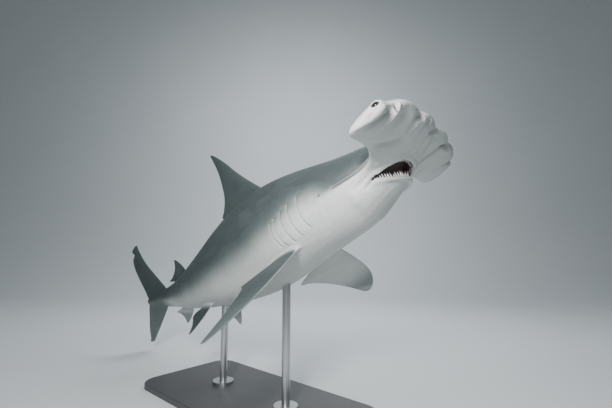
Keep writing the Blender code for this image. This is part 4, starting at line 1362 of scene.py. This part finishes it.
def eye_material() -> bpy.types.Material:
    """A dark eye: black pupil, charcoal iris with fine rays, dark rim."""
    found = bpy.data.materials.get("shark_eye")
    if found:
        return found
    m = Nodes("shark_eye")
    at = m.coordinates()
    fore, rise = m.attribute("fore"), m.attribute("rise")
    wide = m.math("MULTIPLY", fore, 0.82)
    across = m.math("SQRT", m.math("ADD", m.math("MULTIPLY", wide, wide), m.math("MULTIPLY", rise, rise)))
    back = m.math("LESS_THAN", m.attribute("out"), 0.0)
    across = m.math("ADD", across, back)
    around = m.math("ARCTAN2", rise, fore)
    rays = m.math("MULTIPLY", m.math("SINE", m.math("MULTIPLY", around, 46.0)), 0.03)
    iris = m.ramp(
        m.math("ADD", across, m.math("MULTIPLY", rays, m.noise(at, 600.0))),
        (
            (0.00, (0.004, 0.004, 0.005)),
            (0.30, (0.006, 0.006, 0.006)),
            (0.36, (0.030, 0.028, 0.026)),
            (0.55, (0.022, 0.022, 0.022)),
            (0.75, (0.010, 0.010, 0.010)),
            (1.00, (0.020, 0.020, 0.020)),
        ),
    )
    roughness = m.span(m.noise(at, 300.0), 0.0, 1.0, 0.22, 0.30)
    return m.finish(iris, roughness, None, Coat_Weight=0.10, Coat_Roughness=0.20, Specular_IOR_Level=0.15)


@dataclass(frozen=True)
class ToothRow:
    """One row of teeth along the edge of a jaw. Lengths are in metres."""

    name: str
    edge: Table
    upwards: int
    count: int
    height: float
    width: float
    lean: float
    sunk: float
    inwards: float
    seed: int

    def build(self) -> bpy.types.Object:
        """The row's path with its marks, turned into teeth by Geometry Nodes and made plain mesh."""
        places, outward = PLAN.edge_line(self.edge, 121)
        places, outward = places[4:-4], outward[4:-4]
        rise = np.array([0.0, 0.0, float(self.upwards)])
        foot = places - (outward * self.inwards + rise * self.sunk) / TOTAL_LENGTH
        world = SPINE.place(foot)
        aim = SPINE.place(foot + (rise + outward * self.lean) * 0.001) - world
        made = new_object(self.name, world, [])
        made.data.clear_geometry()
        made.data.from_pydata(world.tolist(), [(n, n + 1) for n in range(len(world) - 1)], [])
        along = np.linspace(-1, 1, len(world))
        size = 1 - 0.50 * along**2
        marks = made.data.attributes
        marks.new("aim", "FLOAT_VECTOR", "POINT").data.foreach_set("vector", aim.ravel().astype(np.float32))
        marks.new("size", "FLOAT", "POINT").data.foreach_set("value", size.astype(np.float32))
        grow = made.modifiers.new("teeth", "NODES")
        grow.node_group = tooth_nodes()
        sockets = {item.name: item.identifier for item in grow.node_group.interface.items_tree}
        inputs = {"Count": self.count, "Height": self.height, "Width": self.width, "Seed": self.seed}
        for word, value in (inputs | {"Enamel": tooth_material()}).items():
            grow[sockets[word]] = value
        bake(made)
        made.data.materials.clear()
        made.data.materials.append(tooth_material())
        made.data.shade_smooth()
        return made


def tooth_material() -> bpy.types.Material:
    """Enamel: ivory white, stained towards the root."""
    found = bpy.data.materials.get("tooth_enamel")
    if found:
        return found
    m = Nodes("tooth_enamel")
    at = m.coordinates()
    up = m.attribute("up_tooth")
    stain = m.math("ADD", up, m.math("MULTIPLY_ADD", m.noise(at, 300.0), 0.5, -0.25), clamp=True)
    stops = ((0.05, (0.66, 0.56, 0.50)), (0.30, (0.90, 0.88, 0.83)), (1.0, (0.96, 0.96, 0.94)))
    colour = m.ramp(stain, stops)
    relief = m.bump(m.noise(at, 900.0, 2.0), 0.0002, 0.25)
    roughness = m.span(m.noise(at, 200.0), 0.2, 0.8, 0.20, 0.34)
    return m.finish(colour, roughness, relief, Coat_Weight=0.3, Coat_Roughness=0.08)


def tooth_nodes() -> bpy.types.NodeTree:
    """Geometry Nodes that set flattened, pointed teeth along a path."""
    found = bpy.data.node_groups.get("tooth_row")
    if found:
        return found
    tree = bpy.data.node_groups.new("tooth_row", "GeometryNodeTree")
    sockets = {"Count": "Int", "Height": "Float", "Width": "Float", "Seed": "Int", "Enamel": "Material"}
    for word, kind in ({"Geometry": "Geometry"} | sockets).items():
        tree.interface.new_socket(word, in_out="INPUT", socket_type=f"NodeSocket{kind}")
    tree.interface.new_socket("Geometry", in_out="OUTPUT", socket_type="NodeSocketGeometry")

    def node(kind: str, inputs: Inputs, **settings: object) -> Outputs:
        return add_node(tree, kind, inputs, **settings)

    def product(*factors: Socket | float) -> Socket:
        total = factors[0]
        for factor in factors[1:]:
            total = node("ShaderNodeMath", {0: total, 1: factor}, operation="MULTIPLY")[0]
        return total

    def stored(name: str, kind: str) -> Socket:
        return node("GeometryNodeInputNamedAttribute", {"Name": name}, data_type=kind)["Attribute"]

    given = node("NodeGroupInput", {})
    path = node("GeometryNodeMeshToCurve", {"Mesh": given["Geometry"]})["Curve"]
    inputs = {"Curve": path, "Count": given["Count"]}
    path = node("GeometryNodeResampleCurve", inputs, mode="COUNT")["Curve"]
    sizes = {"Vertices": 12, "Side Segments": 6, "Radius Top": 0.03, "Radius Bottom": 1.0, "Depth": 1.0}
    cone = node("GeometryNodeMeshCone", sizes)["Mesh"]
    at = node("ShaderNodeSeparateXYZ", {0: node("GeometryNodeInputPosition", {})[0]})
    up = node("ShaderNodeMath", {0: at["Z"], 1: 0.0}, operation="MAXIMUM")[0]
    marks = {"Geometry": cone, "Name": "up_tooth", "Value": up}
    cone = node("GeometryNodeStoreNamedAttribute", marks, data_type="FLOAT", domain="POINT")["Geometry"]
    down = node("ShaderNodeMath", {0: 1.0, 1: up}, operation="SUBTRACT")[0]
    belly = product(up, down, 0.55)
    offset = node("ShaderNodeCombineXYZ", {"X": product(at["X"], belly), "Y": product(up, up, 0.35)})[0]
    cone = node("GeometryNodeSetPosition", {"Geometry": cone, "Offset": offset})["Geometry"]
    turned = node("FunctionNodeAlignRotationToVector", {"Vector": stored("aim", "FLOAT_VECTOR")}, axis="Z")
    tangent = node("GeometryNodeInputTangent", {})[0]
    inputs = {"Rotation": turned["Rotation"], "Vector": tangent}
    turned = node("FunctionNodeAlignRotationToVector", inputs, axis="X", pivot_axis="Z")
    spread = {"Min": (-0.16, -0.12, -0.22), "Max": (0.16, 0.12, 0.22), "Seed": given["Seed"]}
    jitter = node("FunctionNodeRandomValue", spread, data_type="FLOAT_VECTOR")[0]
    inputs = {"Rotation": turned["Rotation"], "Rotate By": jitter}
    turned = node("FunctionNodeRotateRotation", inputs, rotation_space="LOCAL")
    # The plain numbers go in at 2 and 3 and come out at 1
    vary = node("FunctionNodeRandomValue", {2: 0.58, 3: 1.20, "Seed": given["Seed"]}, data_type="FLOAT")[1]
    size = stored("size", "FLOAT")
    grown = product(size, vary)
    scales = {
        "X": product(size, given["Width"]),
        "Y": product(grown, given["Width"], 0.52),
        "Z": product(grown, given["Height"]),
    }
    scale = node("ShaderNodeCombineXYZ", scales)[0]
    inputs = {"Points": path, "Instance": cone, "Rotation": turned["Rotation"], "Scale": scale}
    teeth = node("GeometryNodeInstanceOnPoints", inputs)["Instances"]
    teeth = node("GeometryNodeRealizeInstances", {"Geometry": teeth})["Geometry"]
    inputs = {"Geometry": teeth, "Material": given["Enamel"]}
    teeth = node("GeometryNodeSetMaterial", inputs)["Geometry"]
    node("NodeGroupOutput", {"Geometry": teeth})
    return tree


TOOTH_ROWS = (
    ToothRow("lower_teeth_outer", PLAN.lower_edge, 1, 29, 0.0275, 0.0050, 0.40, 0.0045, -0.0055, 11),
    ToothRow("lower_teeth_inner", PLAN.lower_edge, 1, 26, 0.0215, 0.0044, 0.05, 0.0045, 0.0020, 12),
    ToothRow("upper_teeth_outer", PLAN.upper_edge, -1, 33, 0.0090, 0.0044, -0.50, 0.0050, 0.0050, 13),
    ToothRow("upper_teeth_inner", PLAN.upper_edge, -1, 29, 0.0080, 0.0040, -0.80, 0.0050, 0.0100, 14),
)


@dataclass
class Shark:
    """The animal: its skin, eyes and teeth."""

    skin: Skin = field(default_factory=Skin)

    def build(self, nodes: dict[str, bpy.types.Object]) -> None:
        """Makes every piece and hands it to the frame.

        Args:
            nodes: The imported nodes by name.
        """
        flesh = [name for name in nodes if not name.startswith(("stand_", "eye_"))]
        body = self.skin.build()
        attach(body, "root")
        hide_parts(*flesh)
        for side in Side:
            eye = Eye(side).build()
            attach(eye, "root")
            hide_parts(f"eye_{side.name.lower()}")
        for row in TOOTH_ROWS:
            teeth = row.build()
            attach(teeth, "root")


def base_material() -> bpy.types.Material:
    """The plate: charcoal powder coat with a fine orange-peel grain."""
    m = Nodes("stand_powder_coat")
    at = m.coordinates()
    broad, fine = m.noise(at, 7.0), m.noise(at, 480.0, 2.0)
    colour = m.mix(m.span(broad, 0.3, 0.7), (0.052, 0.054, 0.058), (0.066, 0.068, 0.072))
    return m.finish(colour, m.span(broad, 0.3, 0.7, 0.42, 0.52), m.bump(fine, 0.0004, 0.35), Metallic=0.0)


def rod_material() -> bpy.types.Material:
    """The rods: brushed steel, its fine lines running up and down."""
    m = Nodes("stand_brushed_steel")
    at = m.coordinates()
    lines = m.noise(m.stretch(at, (420.0, 420.0, 9.0)), 1.0, 3.0)
    colour = m.mix(m.span(lines, 0.3, 0.7), (0.46, 0.47, 0.48), (0.60, 0.61, 0.62))
    return m.finish(colour, m.span(lines, 0.3, 0.7, 0.26, 0.38), m.bump(lines, 0.0002, 0.25), Metallic=1.0)


def dress_stand(nodes: dict[str, bpy.types.Object]) -> None:
    """Gives the stand's own nodes their finishes."""
    base, rod = base_material(), rod_material()
    for name, node in nodes.items():
        if name.startswith("stand_"):
            for part in node.material_slots:
                part.material = base if name == "stand_base" else rod


@dataclass(frozen=True)
class Lamp:
    """A square area light: where it hangs and where it points, its side in metres, its power in watts."""

    name: str
    at: Vector
    target: Vector
    size: float
    power: float
    colour: Triple

    def build(self) -> None:
        """Hangs the light up."""
        lamp = bpy.data.lights.new(self.name, "AREA")
        lamp.size = self.size
        lamp.energy = self.power
        lamp.color = self.colour
        made = bpy.data.objects.new(self.name, lamp)
        made.location = self.at
        made.rotation_euler = (self.target - self.at).to_track_quat("-Z", "Y").to_euler()
        bpy.context.scene.collection.objects.link(made)


@dataclass(frozen=True)
class Studio:
    """A pale seamless backdrop, soft lights and the photograph's viewpoint."""

    camera_at: Triple = (1.57889, -1.31948, 0.77919)
    camera_turn: Triple = (98.0, 0.0, 41.56)
    lens: float = 20.8135
    middle: Triple = (0.2, 0.0, 0.85)
    head: Triple = (0.75, -0.15, 1.0)
    floor_front: float = -6.0
    floor_back: float = 4.0
    bend_radius: float = 3.0
    wall_height: float = 14.0
    half_wide: float = 16.0
    sky_strength: float = 0.24

    def backdrop(self) -> bpy.types.Object:
        """A floor that curves up into a wall behind the model."""
        ahead, right = np.array([-0.6635, 0.7482]), np.array([0.7482, 0.6635])
        radius, back = self.bend_radius, self.floor_back
        run = [(self.floor_front, 0.0), (back, 0.0)]
        for a in np.radians(np.linspace(0, 90, 25))[1:]:
            run.append((back + radius * math.sin(a), radius * (1 - math.cos(a))))
        run.append((back + radius, self.wall_height))
        strips = 8
        points, faces = [], []
        for s, z in run:
            for side in np.linspace(-self.half_wide, self.half_wide, strips + 1):
                x, y = ahead * s + right * side
                points.append((x, y, z))
        for i in range(len(run) - 1):
            for j in range(strips):
                near = i * (strips + 1) + j
                far = near + strips + 1
                faces.append([near, near + 1, far + 1, far])
        made = new_object("studio_backdrop", np.array(points), faces)
        m = Nodes("studio_paper")
        at = m.coordinates()
        colour = m.mix(m.noise(at, 0.8), (0.60, 0.64, 0.66), (0.66, 0.70, 0.72))
        made.data.materials.append(m.finish(colour, 0.85, m.bump(m.noise(at, 160.0), 0.0005, 0.1)))
        made.data.shade_smooth()
        return made

    def lamps(self) -> tuple[Lamp, ...]:
        """The key by the camera, a soft rim and top light, and a wash on the wall."""
        eye, middle = Vector(self.camera_at), Vector(self.middle)
        right, ahead, up = Vector((0.748, 0.663, 0)), Vector((-0.663, 0.748, 0)), Vector((0, 0, 1))
        wall = middle + ahead * 6.5 + up * 1.0
        warm, cool, cold = (1.0, 0.99, 0.97), (0.95, 0.98, 1.0), (0.93, 0.98, 1.0)
        return (
            Lamp("key", eye + up * 0.85 - right * 0.50, Vector(self.head), 0.45, 74.0, warm),
            Lamp("rim", middle + ahead * 2.3 + right * 1.0 + up * 2.0, middle, 1.8, 48.0, cold),
            Lamp("sky", middle + up * 3.4 + ahead * 0.3, middle, 3.2, 46.0, cool),
            Lamp("wash", middle + ahead * 2.6 + up * 3.6, wall, 3.0, 210.0, cool),
        )

    def camera(self) -> bpy.types.Object:
        """The camera at the photograph's viewpoint, with everything in focus."""
        lens = bpy.data.cameras.new("camera")
        lens.lens = self.lens
        lens.sensor_width = 36.0
        lens.dof.use_dof = False
        made = bpy.data.objects.new("camera", lens)
        made.location = self.camera_at
        made.rotation_euler = tuple(math.radians(a) for a in self.camera_turn)
        bpy.context.scene.collection.objects.link(made)
        return made

    def build(self) -> None:
        """Sets the whole studio up."""
        self.backdrop()
        for lamp in self.lamps():
            lamp.build()
        world = bpy.data.worlds.new("studio")
        world.use_nodes = True
        sky = world.node_tree.nodes["Background"]
        sky.inputs["Color"].default_value = (0.80, 0.86, 0.90, 1.0)
        sky.inputs["Strength"].default_value = self.sky_strength
        bpy.context.scene.world = world
        bpy.context.scene.camera = self.camera()


def main() -> None:
    """Builds the scene."""
    logging.basicConfig(level=logging.INFO, format="%(name)s %(message)s")
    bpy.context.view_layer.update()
    Shark().build(frame["nodes"])
    dress_stand(frame["nodes"])
    Studio().build()


if __name__ == "__main__":
    main()
